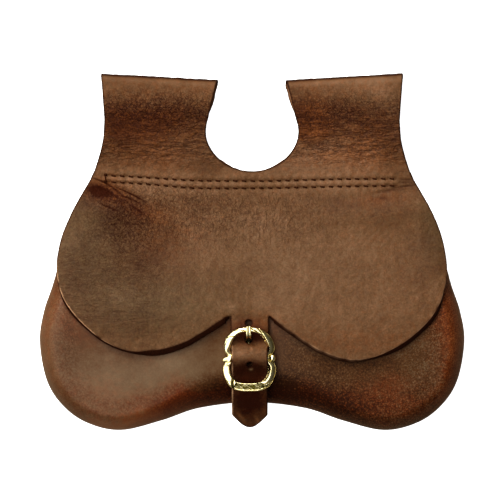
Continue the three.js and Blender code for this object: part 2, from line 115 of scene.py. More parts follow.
def depth_inside(x, y, ring, closed=True):
    """How far points lie inside a ring, and negative outside it. With closed False the last stretch, back to
    the ring's start, is an open side that no distance is taken to."""
    nearest = np.full(x.shape, np.inf)
    inside = np.zeros(x.shape, bool)
    for i, (start, end) in enumerate(zip(ring, np.roll(ring, -1, 0))):
        step = end - start
        beside = start[0] + step[0] * (y - start[1]) / (step[1] or 1)
        inside ^= ((start[1] > y) != (end[1] > y)) & (x < beside)
        if closed or i + 1 < len(ring):
            share = ((x - start[0]) * step[0] + (y - start[1]) * step[1]) / (step @ step)
            foot = start[:, None] + step[:, None] * np.clip(share, 0, 1).ravel()
            away = (x.ravel() - foot[0]) ** 2 + (y.ravel() - foot[1]) ** 2
            nearest = np.minimum(nearest, away.reshape(x.shape))
    return np.where(inside, 1, -1) * np.sqrt(nearest)


def unevenness(x, y, size, seed):
    """Smooth unevenness from about -1 to 1: at the corners of squares of that size stand slopes of random
    direction, and each square blends its four slopes. They repeat after 128 squares."""
    turn = np.random.default_rng(seed).uniform(0, 2 * np.pi, (128, 128))
    u, v = x / size + 50, y / size + 50
    i, j = np.floor(u).astype(int), np.floor(v).astype(int)
    fu, fv = u - i, v - j

    def slope(di, dj):
        """What the slope at one corner of the square gives at the point."""
        angle = turn[(i + di) % 128, (j + dj) % 128]
        return np.cos(angle) * (fu - di) + np.sin(angle) * (fv - dj)

    across = ease(0, 1, fu)
    low, high = mix(slope(0, 0), slope(1, 0), across), mix(slope(0, 1), slope(1, 1), across)
    return 1.5 * mix(low, high, ease(0, 1, fv))


def furrows(x, y, size, seed):
    """Narrow winding valleys, from -1 at their bottom to 0, along the lines where the unevenness is 0."""
    return -((1 - np.minimum(1, 1.7 * np.abs(unevenness(x, y, size, seed)))) ** 2)


def patches(x, y, rows):
    """The sum of soft oval spots. A row is x, y, half width, half height, tilt in degrees and strength."""
    total = np.zeros(x.shape)
    for px, py, half_x, half_y, tilt, strength in rows:
        c, s = math.cos(math.radians(tilt)), math.sin(math.radians(tilt))
        dx, dy = (x - px) * c + (y - py) * s, (y - py) * c - (x - px) * s
        total += strength * np.exp(-((dx / half_x) ** 2) - (dy / half_y) ** 2)
    return total


def grid_faces(index, around=False):
    """Triangles over a grid of point numbers, facing along (next column) x (next row)."""
    if around:
        index = np.hstack([index, index[:, :1]])
    a, b, c, d = index[:-1, :-1], index[:-1, 1:], index[1:, 1:], index[1:, :-1]
    return np.concatenate([np.stack([a, b, c], -1).reshape(-1, 3), np.stack([a, c, d], -1).reshape(-1, 3)])


def normals_of(points, faces):
    """The direction that each point faces: the sum of its triangles' cross products."""
    a, b, c = points[faces[:, 0]], points[faces[:, 1]], points[faces[:, 2]]
    cross = np.cross(b - a, c - a)
    corners = faces.ravel()
    axes = [np.bincount(corners, np.repeat(cross[:, k], 3), len(points)) for k in range(3)]
    return unit(np.stack(axes, 1))


def faces_over(grid):
    """Triangles over a grid of points, which are numbered row by row."""
    return grid_faces(np.arange(grid[..., 0].size).reshape(grid.shape[:2]))


def normals_over(grid):
    """The direction that each point of a grid faces."""
    return normals_of(grid.reshape(-1, 3), faces_over(grid)).reshape(grid.shape)


def leather(skin, skin_faces, lining, lining_faces, loops, bulge, lean=0):
    """A closed piece of leather from its grain side, its flesh side and their borders. The cut edge between
    them is rings of points that bow out by bulge, and lean out towards the flesh side of the first border.
    It returns points, triangles and the marks edge, flesh and deep, which is 1 on the flesh side."""
    down = np.array(CUT_RINGS)[:, None, None]
    bow = bulge * (1 - np.abs(2 * down - 1) ** 3)
    points, faces = [skin, lining], [skin_faces, lining_faces[:, ::-1] + len(skin)]
    count = len(skin) + len(lining)
    depths = []
    for skin_loop, lining_loop in loops:
        top = skin[skin_loop]
        along = np.roll(top, -1, 0) - np.roll(top, 1, 0)
        out = unit(np.cross(along, top - lining[lining_loop]))
        lining[lining_loop] += out * lean
        ring = mix(top, lining[lining_loop], down) + out * bow
        lean = 0
        new = count + np.arange(ring.shape[0] * ring.shape[1]).reshape(ring.shape[:2])
        index = np.vstack([skin_loop, new, lining_loop + len(skin)])
        faces.append(grid_faces(index, around=True)[:, ::-1])
        points.append(ring.reshape(-1, 3))
        depths.append(np.repeat(down.ravel(), len(skin_loop)))
        count += new.size
    points = np.concatenate(points)
    number = np.arange(count)
    edge = (number >= len(skin) + len(lining)).astype(float)
    deep = np.concatenate([np.zeros(len(skin)), np.ones(len(lining))] + depths)
    for skin_loop, _ in loops:
        edge[skin_loop] = 0.7
    flesh = ((number >= len(skin)) & (edge == 0)).astype(float)
    return points, np.concatenate(faces), {"edge": edge, "flesh": flesh, "deep": deep}


def leather_from_grids(skin, lining):
    """A closed piece of leather from two grids of points. Its border is the grids' first row, last column,
    last row and first column."""
    faces = faces_over(skin)
    index = np.arange(skin[..., 0].size).reshape(skin.shape[:2])
    border = np.concatenate([index[0, :-1], index[:-1, -1], index[-1, :0:-1], index[:0:-1, 0]])
    return leather(skin.reshape(-1, 3), faces, lining.reshape(-1, 3), faces, [(border, border)], EDGE_BOW)


def add_piece(name, points, faces, marks, material, node):
    """Makes a smooth mesh with its marks as attributes, which rides on the frame in place of its CAD node."""
    mesh = bpy.data.meshes.new(name)
    mesh.vertices.add(len(points))
    mesh.vertices.foreach_set("co", (points * MM).astype(np.float32).ravel())
    mesh.loops.add(faces.size)
    mesh.loops.foreach_set("vertex_index", faces.astype(np.int32).ravel())
    mesh.polygons.add(len(faces))
    mesh.polygons.foreach_set("loop_start", np.arange(0, faces.size, 3, dtype=np.int32))
    mesh.update(calc_edges=True)
    mesh.validate()
    mesh.shade_smooth()
    for mark, values in marks.items():
        layer = mesh.attributes.new(mark, "FLOAT", "POINT")
        layer.data.foreach_set("value", np.full(len(points), values, np.float32))
    mesh.materials.append(material)
    piece = bpy.data.objects.new(name, mesh)
    bpy.context.scene.collection.objects.link(piece)
    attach(piece, "root")
    if node:
        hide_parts(node)


def feed(tree, sockets, inputs):
    """Gives sockets, by name or number, their values or the sockets that those come from."""
    for key, value in inputs.items():
        if isinstance(value, bpy.types.NodeSocket):
            tree.links.new(value, sockets[key])
        else:
            sockets[key].default_value = value


def step_node(tree, kind, settings, inputs):
    """Adds one node. settings are its own properties, and inputs go to its sockets."""
    made = tree.nodes.new(kind)
    for key, value in settings.items():
        setattr(made, key, value)
    feed(tree, made.inputs, inputs)
    return made


def reckon(tree, operation, *values, clamp=False):
    """The outcome of one Math node, kept from 0 to 1 with clamp."""
    settings = {"operation": operation, "use_clamp": clamp}
    return step_node(tree, "ShaderNodeMath", settings, dict(enumerate(values))).outputs[0]


def plus(tree, a, b):
    """a + b, as a node."""
    return reckon(tree, "ADD", a, b)


def times(tree, a, b, clamp=False):
    """a times b, as a node."""
    return reckon(tree, "MULTIPLY", a, b, clamp=clamp)


def tint(tree, share, under, over, blend="MIX"):
    """A share of the colour over, laid on the colour under."""
    settings = {"data_type": "RGBA", "blend_type": blend}
    return step_node(tree, "ShaderNodeMix", settings, {0: share, 6: under, 7: over}).outputs[2]


def between(tree, value, low, high, to_low=0.0, to_high=1.0):
    """The value's place between low and high, as a number from to_low to to_high."""
    inputs = {"Value": value, "From Min": low, "From Max": high, "To Min": to_low, "To Max": to_high}
    return step_node(tree, "ShaderNodeMapRange", {"clamp": True}, inputs).outputs[0]


def stretched(tree, place, scale):
    """The place multiplied by a scale along each axis."""
    inputs = {"Vector": place, "Scale": scale}
    return step_node(tree, "ShaderNodeMapping", {}, inputs).outputs[0]


def cloud(tree, place, per_metre, detail=3.0, rough=0.55):
    """Soft noise from 0 to 1, with that many clouds to the metre."""
    inputs = {"Vector": place, "Scale": per_metre, "Detail": detail, "Roughness": rough}
    return step_node(tree, "ShaderNodeTexNoise", {}, inputs).outputs[0]


def mark_of(tree, name):
    """A mark that is painted on the mesh's points."""
    return step_node(tree, "ShaderNodeAttribute", {"attribute_name": name}, {}).outputs["Fac"]


def bumped(tree, height, strength, depth):
    """The surface's direction, turned by a height. depth is in millimetres."""
    inputs = {"Height": height, "Strength": strength, "Distance": depth * MM}
    return step_node(tree, "ShaderNodeBump", {}, inputs).outputs[0]


def new_material(name):
    """A new material, its tree, its shader's inputs and the place on the piece."""
    material = bpy.data.materials.new(name)
    material.use_nodes = True
    tree = material.node_tree
    place = step_node(tree, "ShaderNodeTexCoord", {}, {}).outputs["Object"]
    return material, tree, tree.nodes["Principled BSDF"].inputs, place


def new_group(name, inputs, outputs):
    """An empty node group with named sockets, its tree, and its input and output nodes."""
    tree = bpy.data.node_groups.new(name, "ShaderNodeTree")
    for label, kind in inputs.items():
        tree.interface.new_socket(label, in_out="INPUT", socket_type="NodeSocket" + kind)
    for label, kind in outputs.items():
        tree.interface.new_socket(label, in_out="OUTPUT", socket_type="NodeSocket" + kind)
    return tree, tree.nodes.new("NodeGroupInput").outputs, tree.nodes.new("NodeGroupOutput").inputs


def valleys(tree, place, scale, width):
    """Narrow winding valleys, 1 at their bottom: they run where a stretched cloud crosses its mean."""
    middle = cloud(tree, stretched(tree, place, scale), 1.0, 3.0, 0.6)
    off_middle = reckon(tree, "ABSOLUTE", reckon(tree, "SUBTRACT", middle, 0.5))
    return between(tree, off_middle, 0.0, width, 1.0, 0.0)


# Grain: flat pebbles parted by fine creases, longer creases that wind between them, pores, wrinkles that run
# across the loops, and wrinkles that hang below the seam.
strengths = ["Pebbles per metre", "Pebble", "Crease", "Wrinkle", "Hang"]
grain_tree, given, result = new_group(
    "leather_grain",
    {"Place": "Vector", **dict.fromkeys(strengths, "Float")},
    {"Height": "Float", "Hollow": "Float"},
)
warp = step_node(
    grain_tree, "ShaderNodeTexNoise", {},
    {"Vector": given["Place"], "Scale": 420.0, "Detail": 2.0},
)
warped = step_node(
    grain_tree, "ShaderNodeMix", {"data_type": "VECTOR", "blend_type": "MIX"},
    {0: 0.0009, 4: given["Place"], 5: warp.outputs["Color"]},
).outputs[1]
cells = step_node(
    grain_tree, "ShaderNodeTexVoronoi", {"feature": "DISTANCE_TO_EDGE"},
    {"Vector": warped, "Scale": given["Pebbles per metre"], "Randomness": 1.0},
)
parting = between(grain_tree, cells.outputs[0], 0.0, 0.2, 1.0, 0.0)
winding = times(grain_tree, valleys(grain_tree, warped, (330.0,) * 3, 0.04), given["Crease"])
pores = between(grain_tree, cloud(grain_tree, given["Place"], 1300.0, 2.0), 0.3, 0.42, 0.5, 0.0)
pebbled = times(grain_tree, plus(grain_tree, parting, pores), given["Pebble"])
across = times(grain_tree, valleys(grain_tree, warped, (90.0, 420.0, 420.0), 0.09), given["Wrinkle"])
hanging = times(grain_tree, valleys(grain_tree, warped, (300.0, 150.0, 300.0), 0.06), given["Hang"])
sunken = plus(grain_tree, pebbled, winding)
wrinkled = plus(grain_tree, across, hanging)
feed(grain_tree, result, {
    "Height": times(grain_tree, plus(grain_tree, sunken, wrinkled), -1.0),
    "Hollow": reckon(grain_tree, "MULTIPLY_ADD", wrinkled, 0.45, sunken),
})

# Dye: the hide takes it up in clouds of three sizes, dark where it was wet longest, and it goes pale where
# the waxed leather is bent or rubbed. Tone moves it from dark to light, red warms it and cool greys it. Tone
# also carries painted light and painted shade, and cool carries a painted sheen.
dye_tree, given, result = new_group(
    "leather_dye",
    {
        "Place": "Vector", **dict.fromkeys(["Dark", "Middle", "Light", "Warm"], "Color"),
        **dict.fromkeys(["Tone", "Red", "Cool", "Clouds", "Speckle"], "Float"),
    },
    {"Color": "Color"},
)
wide = cloud(dye_tree, given["Place"], 34.0, 4.0, 0.6)
patchy = cloud(dye_tree, given["Place"], 190.0, 3.0, 0.6)
fine = cloud(dye_tree, given["Place"], 900.0, 2.0, 0.6)
speckles = times(dye_tree, reckon(dye_tree, "SUBTRACT", fine, 0.5), given["Speckle"])
smaller = plus(dye_tree, reckon(dye_tree, "MULTIPLY_ADD", patchy, 0.8, -0.4), speckles)
all_clouds = plus(dye_tree, reckon(dye_tree, "MULTIPLY_ADD", wide, 1.1, -0.55), smaller)
toned = reckon(dye_tree, "MULTIPLY_ADD", given["Tone"], 0.5, 0.5)
level = plus(dye_tree, times(dye_tree, all_clouds, given["Clouds"]), toned)
darker = tint(dye_tree, between(dye_tree, level, 0.0, 0.5), given["Dark"], given["Middle"])
lighter = tint(dye_tree, between(dye_tree, level, 0.5, 1.0), darker, given["Light"])
warmed = tint(dye_tree, given["Red"], lighter, given["Warm"], "MULTIPLY")
cooled = tint(dye_tree, given["Cool"], warmed, (0.82, 1.0, 1.08, 1), "MULTIPLY")
feed(dye_tree, result, {"Color": cooled})


def leather_finish(name, dye, grain, gloss):
    """A leather: dyed and grained on its skin, dull and fibrous on its flesh side, and burnished on its cut
    edges. dye, grain and gloss hold the values that differ from one piece of leather to the next."""
    material, tree, shader, place = new_material(name)
    mottle = grain["mottle"]
    mottled = between(tree, cloud(tree, place, 420.0, 3.0, 0.6), 0.25, 0.75, -mottle, mottle)
    hue = plus(tree, mark_of(tree, "red"), mottled)
    crackle = mark_of(tree, "crackle")
    dyed = step_node(
        tree, "ShaderNodeGroup", {"node_tree": dye_tree},
        {
            "Place": place, "Tone": mark_of(tree, "tone"), "Red": times(tree, hue, 1.0, clamp=True),
            "Cool": times(tree, hue, -1.0, clamp=True),
            "Speckle": reckon(tree, "MULTIPLY_ADD", crackle, grain["speckle"], 0.3), **dye,
        },
    ).outputs["Color"]
    grained = step_node(
        tree, "ShaderNodeGroup", {"node_tree": grain_tree},
        {
            "Place": place, "Pebbles per metre": grain["per_metre"],
            "Pebble": times(tree, crackle, grain["pebble"]), "Crease": times(tree, crackle, grain["crease"]),
            "Wrinkle": times(tree, mark_of(tree, "wrinkle"), grain["wrinkle"]), "Hang": mark_of(tree, "hang"),
        },
    ).outputs
    sunk = times(tree, grained["Hollow"], grain["shade"], clamp=True)
    skin = tint(tree, sunk, dyed, dye["Dark"])
    fibres = cloud(tree, place, 1500.0, 4.0, 0.7)
    edge, flesh = mark_of(tree, "edge"), mark_of(tree, "flesh")
    edge_tint = tint(tree, between(tree, fibres, 0.3, 0.75), *EDGE_AND_SHADOW_COLOURS)
    # The cut's colour takes a painted highlight where light catches it.
    edge_tint = tint(tree, mark_of(tree, "cut_highlight"), edge_tint, CUT_HIGHLIGHT_COLOUR)
    flesh_tint = tint(tree, between(tree, fibres, 0.3, 0.7), *FLESH_COLOURS)
    dull = reckon(tree, "MAXIMUM", edge, flesh)
    rough = reckon(tree, "MULTIPLY_ADD", grained["Hollow"], 0.12, gloss["rough"])
    waxed = times(tree, mark_of(tree, "shine"), gloss["wax"])
    height = plus(tree, grained["Height"], times(tree, fibres, dull))
    normal = bumped(tree, height, grain["strength"], grain["depth"])
    feed(tree, shader, {
        "Base Color": tint(tree, flesh, tint(tree, edge, skin, edge_tint), flesh_tint),
        "Roughness": reckon(tree, "MULTIPLY_ADD", dull, 0.25, rough, clamp=True),
        "Coat Weight": times(tree, waxed, reckon(tree, "SUBTRACT", 1.0, dull), clamp=True),
        "Normal": normal,
        "Coat Normal": normal,
        "Coat Roughness": gloss["wax rough"],
        "Coat Tint": (1, 0.84, 0.66, 1),
        "Specular IOR Level": gloss["specular"],
        "Specular Tint": (1, 0.7, 0.42, 1),
    })
    return material


def srgb(red, green, blue):
    """A colour given as it looks, from 0 to 255, in the linear numbers that a shader takes."""
    value = np.array([red, green, blue]) / 255
    linear = np.where(value < 0.04045, value / 12.92, ((value + 0.055) / 1.055) ** 2.4)
    return (*linear.tolist(), 1.0)


FLESH_COLOURS = (srgb(84, 56, 38), srgb(128, 92, 66))
# The cut edges are burnished dark, and darker still as painted shadow: on the flap's lobes the leaning cut
# stands for the shadow under their edges.
EDGE_AND_SHADOW_COLOURS = (srgb(22, 7, 3), srgb(52, 23, 11))
# The colour of the painted highlight on the cut.
CUT_HIGHLIGHT_COLOUR = srgb(200, 158, 120)
bag_finish = leather_finish(
    "bag leather",
    dye={
        # The light colour is greyed as a painted sheen.
        "Dark": srgb(34, 11, 3), "Middle": srgb(80, 46, 21), "Light": srgb(110, 82, 58),
        "Warm": (1.15, 0.7, 0.42, 1), "Clouds": 0.45,
    },
    grain={
        "per_metre": 800.0, "pebble": 0.6, "crease": 0.0, "wrinkle": 0.0, "shade": 0.65, "strength": 0.4,
        "depth": 0.12, "mottle": 0.6, "speckle": 2.0,
    },
    gloss={"rough": 0.5, "wax": 0.35, "wax rough": 0.4, "specular": 0.1},
)

half_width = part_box("front_panel")[1][0] / MM
half_edge = np.array(BAG_EDGE) * (half_width / max(x for x, _ in BAG_EDGE), 1)
bag_knots = np.vstack([mirrored(half_edge), half_edge[1:]])
bag_outline = spline(bag_knots, np.linspace(0, 1, 241))


def inside_bag(x, y):
    """How far points lie inside the bag's outline, whose upper edge is left open."""
    return depth_inside(x, y, bag_outline, closed=False)


def seam_height(y):
    """The side seam is low at its upper ends and rises to its full height round the lobes."""
    return mix(SEAM["low"], SEAM["high"], ease(SEAM["from"], SEAM["full"], y))


def fan(rim, target, steps, crowding):
    """Points on straight lines from the rim to a target edge, closer together at the rim by crowding."""
    share = (np.arange(steps + 1) / steps)[:, None, None] ** crowding
    return mix(rim, target, share)


def inward(rim):
    """The direction into the bag at each point of its rim, level with the ground."""
    along = np.gradient(rim, axis=0)
    return unit(np.stack([-along[:, 1], along[:, 0]], 1))


def back_points(columns, steps, crowding):
    """The back's underside: flat, with a rim that rises as a quarter circle and stops at the seam."""
    along = np.linspace(0, 1, columns + 1)
    rim = spline(bag_knots, along)
    side = (2 * along - 1)[:, None]
    target = np.hstack([side * BACK_TOP["half"], np.full_like(side, BACK_TOP["y"])])
    x, y = np.moveaxis(fan(rim, target, steps, crowding), 2, 0)
    turn = ease(SEAM["from"], SEAM["full"], y) * (1 - rounded(inside_bag(x, y) / BACK_RIM["width"]))
    return np.stack([x, y, np.minimum(BACK_RIM["rise"] * turn, seam_height(y) - GAP / 2)], 2)


BACK_GRID = {"columns": 300, "steps": 44, "crowding": 2.2}
under = back_points(**BACK_GRID)
inside_back = under + normals_over(under) * BAG_THICK
inside_back[..., 2] = np.minimum(inside_back[..., 2], seam_height(under[..., 1]) - GAP / 2)
points, faces, marks = leather_from_grids(inside_back, under)
marks["flesh"] = (np.arange(len(points)) < inside_back[..., 0].size).astype(float)
marks.update({"tone": -0.2, "shine": 0.4, "crackle": 0.5})
add_piece("bag_back", points, faces, marks, bag_finish, "back_panel")

# ---- The bag's front ---------------------------------------------------------------------------------
# One piece of the same leather, moulded wet over two round forms, so that it stands up in two lobes with a
# shallow groove between them. It is sewn to the back inside out and turned, and it is open under the flap.
MOUTH_KNOT = 11  # the row of BAG_EDGE at the corner of the mouth
# The mouth's half width, and how far up its edge runs in the middle and at its corners.
MOUTH = {"half": 86, "middle": 14, "corner": 21.4}
# How deep the front is at its mouth, at the mouth's corners and in the lobes, and what lowers it.
DEPTH = {"mouth": 6, "corner": 3.8, "lobe": 19.5, "from": 14, "full": -42}
DIP = {"depth": 2.5, "width": 30, "from": 0, "full": -50}
CROWN = {"fall": 1.3, "middle": 58, "half": 50, "from": 14, "full": -30}
FALL = {"depth": 1.6, "from": -45, "length": 45}
ROLL = {"edge": 8.5, "middle": 21, "width": 32, "from": -20, "full": -60}
TURN_IN = {"depth": 1.1, "degrees": 82, "rows": 6}  # how the side wall turns in to the seam
# Painted shade, with some darker dye, along the middle of the lower edge: its middle, half width and
# strength.
LOWER_SHADE_AND_DYE = {"middle": 8, "width": 54, "dark": 1.15}  # along the lower edge
# Where the bag's dye is darker or lighter, and where it is redder: soft oval spots, in the rows of patches.
# Besides dye, the tones hold a painted sheen on the left lobe, painted light along the rims and painted
# shade beside the strap, and the cool spots grey the lobes as a painted sheen.
BAG_DYE_AND_LIGHT = [
    (-66, -68, 40, 20, 12, 0.62), (-30, -62, 20, 10, 0, 0.35), (-109, -45, 8, 30, 0, 0.45),
    (26, -56, 18, 9, -10, 0.2), (66, -66, 34, 16, 0, -0.1), (108, -40, 9, 34, 0, 0.35),
    (-44, -86, 24, 5, 24, -0.1), (62, -58, 30, 5, 0, -0.3), (84, -82, 20, 12, 30, 0.25),
    (18, -62, 10, 21, 0, -0.4), (38, -55, 16, 6, -14, -0.25), (-66, -56, 12, 6, 0, -0.3),
    (94, -72, 8, 8, 0, -0.3), (-66, -91, 30, 6, 4, 0.75), (112, -48, 5, 34, 0, 0.5),
    (90, -64, 16, 16, 0, 0.22), (-40, -80, 16, 6, 20, 0.3), (100, -72, 8, 16, 20, 0.4),
]
BAG_REDS_AND_SHEEN = [
    (-110, -45, 9, 40, 0, 0.3), (-60, -92, 50, 7, 4, 1.1), (76, -84, 34, 9, 0, 0.6),
    (108, -50, 9, 44, 0, 2.2), (77, -68, 7, 6, 0, 0.8), (6, -76, 60, 7, 0, 1.5),
    (-58, -64, 40, 14, 0, -1.1), (44, -62, 46, 15, 0, -1.1), (-36, -80, 14, 6, 20, 1.2),
    (88, -56, 16, 14, 0, -0.9), (-22, -54, 14, 16, 0, -1.3), (20, -58, 14, 12, 0, -1.4),
    (-92, -54, 14, 10, 0, -0.9),
]


def widest_height(y):
    """The front's widest line runs at an even height above the seam."""
    return seam_height(y) + BULGE


def towards_corner(x):
    """0 in the middle of the mouth and 1 from its corners on, as a parabola."""
    return np.minimum(1, (x / MOUTH["half"]) ** 2)


def roll_width(x, y):
    """How far in from its edge the front is rounded, widest in the groove between the lobes."""
    middle = hump(x, ROLL["width"]) * ease(ROLL["from"], ROLL["full"], y)
    return mix(ROLL["edge"], ROLL["middle"], middle)


def bag_depth(x, y):
    """How far the front stands above its widest line: from the mouth's height up to the lobes', less the
    groove in the middle, the lobes' fall to both sides and their fall to the lower edge."""
    mouth = mix(DEPTH["mouth"], DEPTH["corner"], towards_corner(x))
    growth = mix(mouth, DEPTH["lobe"], ease(DEPTH["from"], DEPTH["full"], y))
    dip = DIP["depth"] * hump(x, DIP["width"]) * ease(DIP["from"], DIP["full"], y)
    off_lobe = (np.abs(x) - CROWN["middle"]) / CROWN["half"]
    crown = CROWN["fall"] * off_lobe**2 * ease(CROWN["from"], CROWN["full"], y)
    fall = FALL["depth"] * (np.minimum(0, y - FALL["from"]) / FALL["length"]) ** 2
    return growth - dip - crown - fall


def bag_top(x, y):
    """The front's outer side: the depth is taken down to the widest line in a quarter circle."""
    share = inside_bag(x, y) / roll_width(x, y)
    return widest_height(y) + bag_depth(x, y) * rounded(share)


def front_points(columns, steps, crowding):
    """The front's outer side: a wall that turns in below to the seam, a rounded edge, lobes and a mouth."""
    first = (len(BAG_EDGE) - 1 - MOUTH_KNOT) / (2 * (len(BAG_EDGE) - 1))
    along = np.linspace(first, 1 - first, columns + 1)
    rim = spline(bag_knots, along)
    side = np.linspace(-1, 1, columns + 1)[:, None]
    target = np.hstack([side * MOUTH["half"], mix(MOUTH["middle"], MOUTH["corner"], side**2)])
    x, y = np.moveaxis(fan(rim, target, steps, crowding), 2, 0)
    top = np.stack([x, y, bag_top(x, y)], 2)
    top[0, :, 2] = widest_height(rim[:, 1])
    angle = np.radians(np.linspace(TURN_IN["degrees"], 0, TURN_IN["rows"], endpoint=False))[:, None]
    inset = (TURN_IN["depth"] * (1 - np.cos(angle)))[..., None] * inward(rim)
    low = widest_height(rim[:, 1]) - (BULGE - GAP / 2) * np.sin(angle) / np.sin(angle[0])
    wall = np.concatenate([rim + inset, low[..., None]], 2)
    return np.vstack([wall, top])


FRONT_GRID = {"columns": 420, "steps": 96, "crowding": 1.7}
front = front_points(**FRONT_GRID)
x, y = front[..., 0], front[..., 1]
out = normals_over(front)
lining = front - out * BAG_THICK
lining[..., 2] = np.maximum(lining[..., 2], seam_height(y) + GAP / 2)
# Slow waves of moulded leather, which die out at the seam.
calm = ease(0, 6, inside_bag(x, y))[..., None]
waves = 0.35 * unevenness(x, y, 34, 1) + 0.12 * unevenness(x, y, 11, 2)
front = front + out * (waves[..., None] * calm)
points, faces, marks = leather_from_grids(front, lining)
x, y = points[:, 0], points[:, 1]
# The patches of dye, painted light and painted shade have wavering edges, and painted shade with some
# darker dye runs along the middle of the lower edge. The grain is most cracked where it is dark, and the
# pale places and the edge itself shine most.
drift = 5 * unevenness(x, y, 16, 3)
inside = inside_bag(x, y)
lower_shade_and_dye = band(inside, -1, 5, 8, 20) * hump(x - LOWER_SHADE_AND_DYE["middle"], LOWER_SHADE_AND_DYE["width"])
marks["tone"] = patches(x + drift, y + drift, BAG_DYE_AND_LIGHT) - LOWER_SHADE_AND_DYE["dark"] * lower_shade_and_dye
marks["red"] = patches(x - drift, y + drift, BAG_REDS_AND_SHEEN)
crackle = 0.3 - 0.8 * marks["tone"] + 0.6 * ease(26, 12, inside) + 0.8 * ease(6, 30, x)
marks["crackle"] = np.clip(crackle, 0.2, 2.2)
burnished = ease(1.6, 0, inside)
marks["shine"] = np.clip(0.55 + 0.5 * marks["tone"], 0, 1) * mix(1, 0.35, ease(10, 40, x)) + burnished
add_piece("bag_front", points, faces, marks, bag_finish, "front_panel")

# ---- The flap, its loops and its strap ---------------------------------------------------------------
# One piece of heavier leather, 2.2 mm thick. It folds over at the top into two belt loops, and its rear end
# is sewn between the flap and the back. Below, it covers the mouth and runs out in the closing strap.
FLAP_THICK = 2.2
# Right half of the flap's outline, from the strap round the lobe and up to the waist of the loop.
FLAP_EDGE = [
    (9.6, -34), (24.8, -44.7), (39, -52.6), (55, -56), (75, -51.4), (90, -40.4), (100.2, -27.4),
    (103.9, -12), (101.7, 6), (94.6, 23.5), (84.7, 40.8), (79.6, 57), (78.4, 70),
]
FLAP_SKEW = 0.026  # how much lower the flap hangs at its right
# The round cut between the loops: its centre, half width and depth, and how far round it goes on above.
NECK = {"y": 64, "half": 25, "drop": 21.5, "turn": 0.25}
# The loops' edges where they fold, how far up their tops lie there, and the outer edge's waist.
LOOP = {"inner": 18.8, "outer": 80.2, "top_inner": 91.6, "top_outer": 95.2, "waist": (78.4, 70)}
BELT_ROOM = 6
SEWN_FROM = 43
LOOP_RISE = 18  # how far above the seam a loop reaches its full height
# The loops' rear leather: its end behind the seam, and where it comes down off the back to lie flat.
YOKE = {"end": 30.5, "leaves": 43, "flat": 50}
# Where the flap starts to climb from the seam onto the bag, and where it is up.
CLIMB = {"from": 34, "middle": 12.5, "side": 20}
BRIDGE = 8  # how far outside the bag the flap comes down
LOOSE = 0.7
FLAP_BOW = 0.4  # how far its cut edges bow out
# Beside the strap the flap's lower edge stands off the bag.
LIFT = {"height": 1.8, "beside": 14, "width": 22, "from": -12, "full": -44}
# The strap's middle and half widths, and how far up its notch, narrowing, corners and tip lie.
STRAP = {
    "middle": -1.2, "edge": 9.8, "slim": 9.2, "blend": 14, "flap_ends": -30, "notch": -34.6, "leaves": -36,
    "narrows": -46, "narrow": -52, "corner": -87.4, "tip": -93.8,
}
STRAP_TIP = [(6, -90.6), (3, -92.9)]
# Height of the strap's upper side: under the upper loop, over the bar and the tab, and down to its tip.
STRAP_LINE = np.array([
    (-31, 26.3), (-36, 26.9), (-41, 27.5), (-45, 27.7), (-48, 28.5), (-51, 30.7), (-54, 32.9),
    (-57, 33.6), (-60, 32.7), (-63, 30.4), (-66, 28.2), (-70, 26.4), (-74, 24.9), (-78, 22.7),
    (-82, 19.2), (-86, 15.6), (-90, 11.9), (-98, 5.4),
])
# The strap's holes: middle, half width and half height. The pin stands in the long one.
HOLES = [(-1.8, -37.9, 2.1, 1.9), (-1.8, -46.5, 2.3, 2.4), (-1.2, -60.3, 1.9, 1.9)]
PEEK = {"left": 0.8, "right": 1.2, "from": 73, "full": 80, "last": 88}  # what shows of the rear leather
# How far the lobes' cut leans out, and how much higher their skin ends where more of the cut shows: the
# dark cut stands as painted shadow under the flap's lower edges.
EDGE_LEAN = {"left": 0.9, "right": 1.7, "corner": 0.6}
CUT_SHOWS_AS_SHADOW = {"left": 2.4, "right": 2.1}
NET = {"skin": 0.7, "lining": 1.9, "border": 0.7}  # spacing of the points
# Closer points where creases run, and wider ones behind the fold: two corners and a spacing.
NET_ZONES = [(-90, 22, -52, 43, 0.4), (-90, 106, 90, 190, 1.5)]
SEAM_ROWS = {  # the two rows of stitches
    "upper": [
        (-78.1, 40.7), (-55, 39.4), (-32.6, 38.0), (-14.6, 37.7), (10, 37.7), (46.7, 38.6), (75.9, 38.8),
    ],
    "lower": [
        (-78.1, 37.2), (-55, 35.9), (-32.6, 34.0), (-14.6, 33.7), (10, 33.9), (46.7, 34.7), (75.9, 35.1),
    ],
}
THREAD = {
    "radius": 0.45, "pitch": 4.64, "stitch": 2.8, "slant": 9, "sunk": 0.1, "start": -78.1, "first": 2.8,
    "end": 75.9,
}
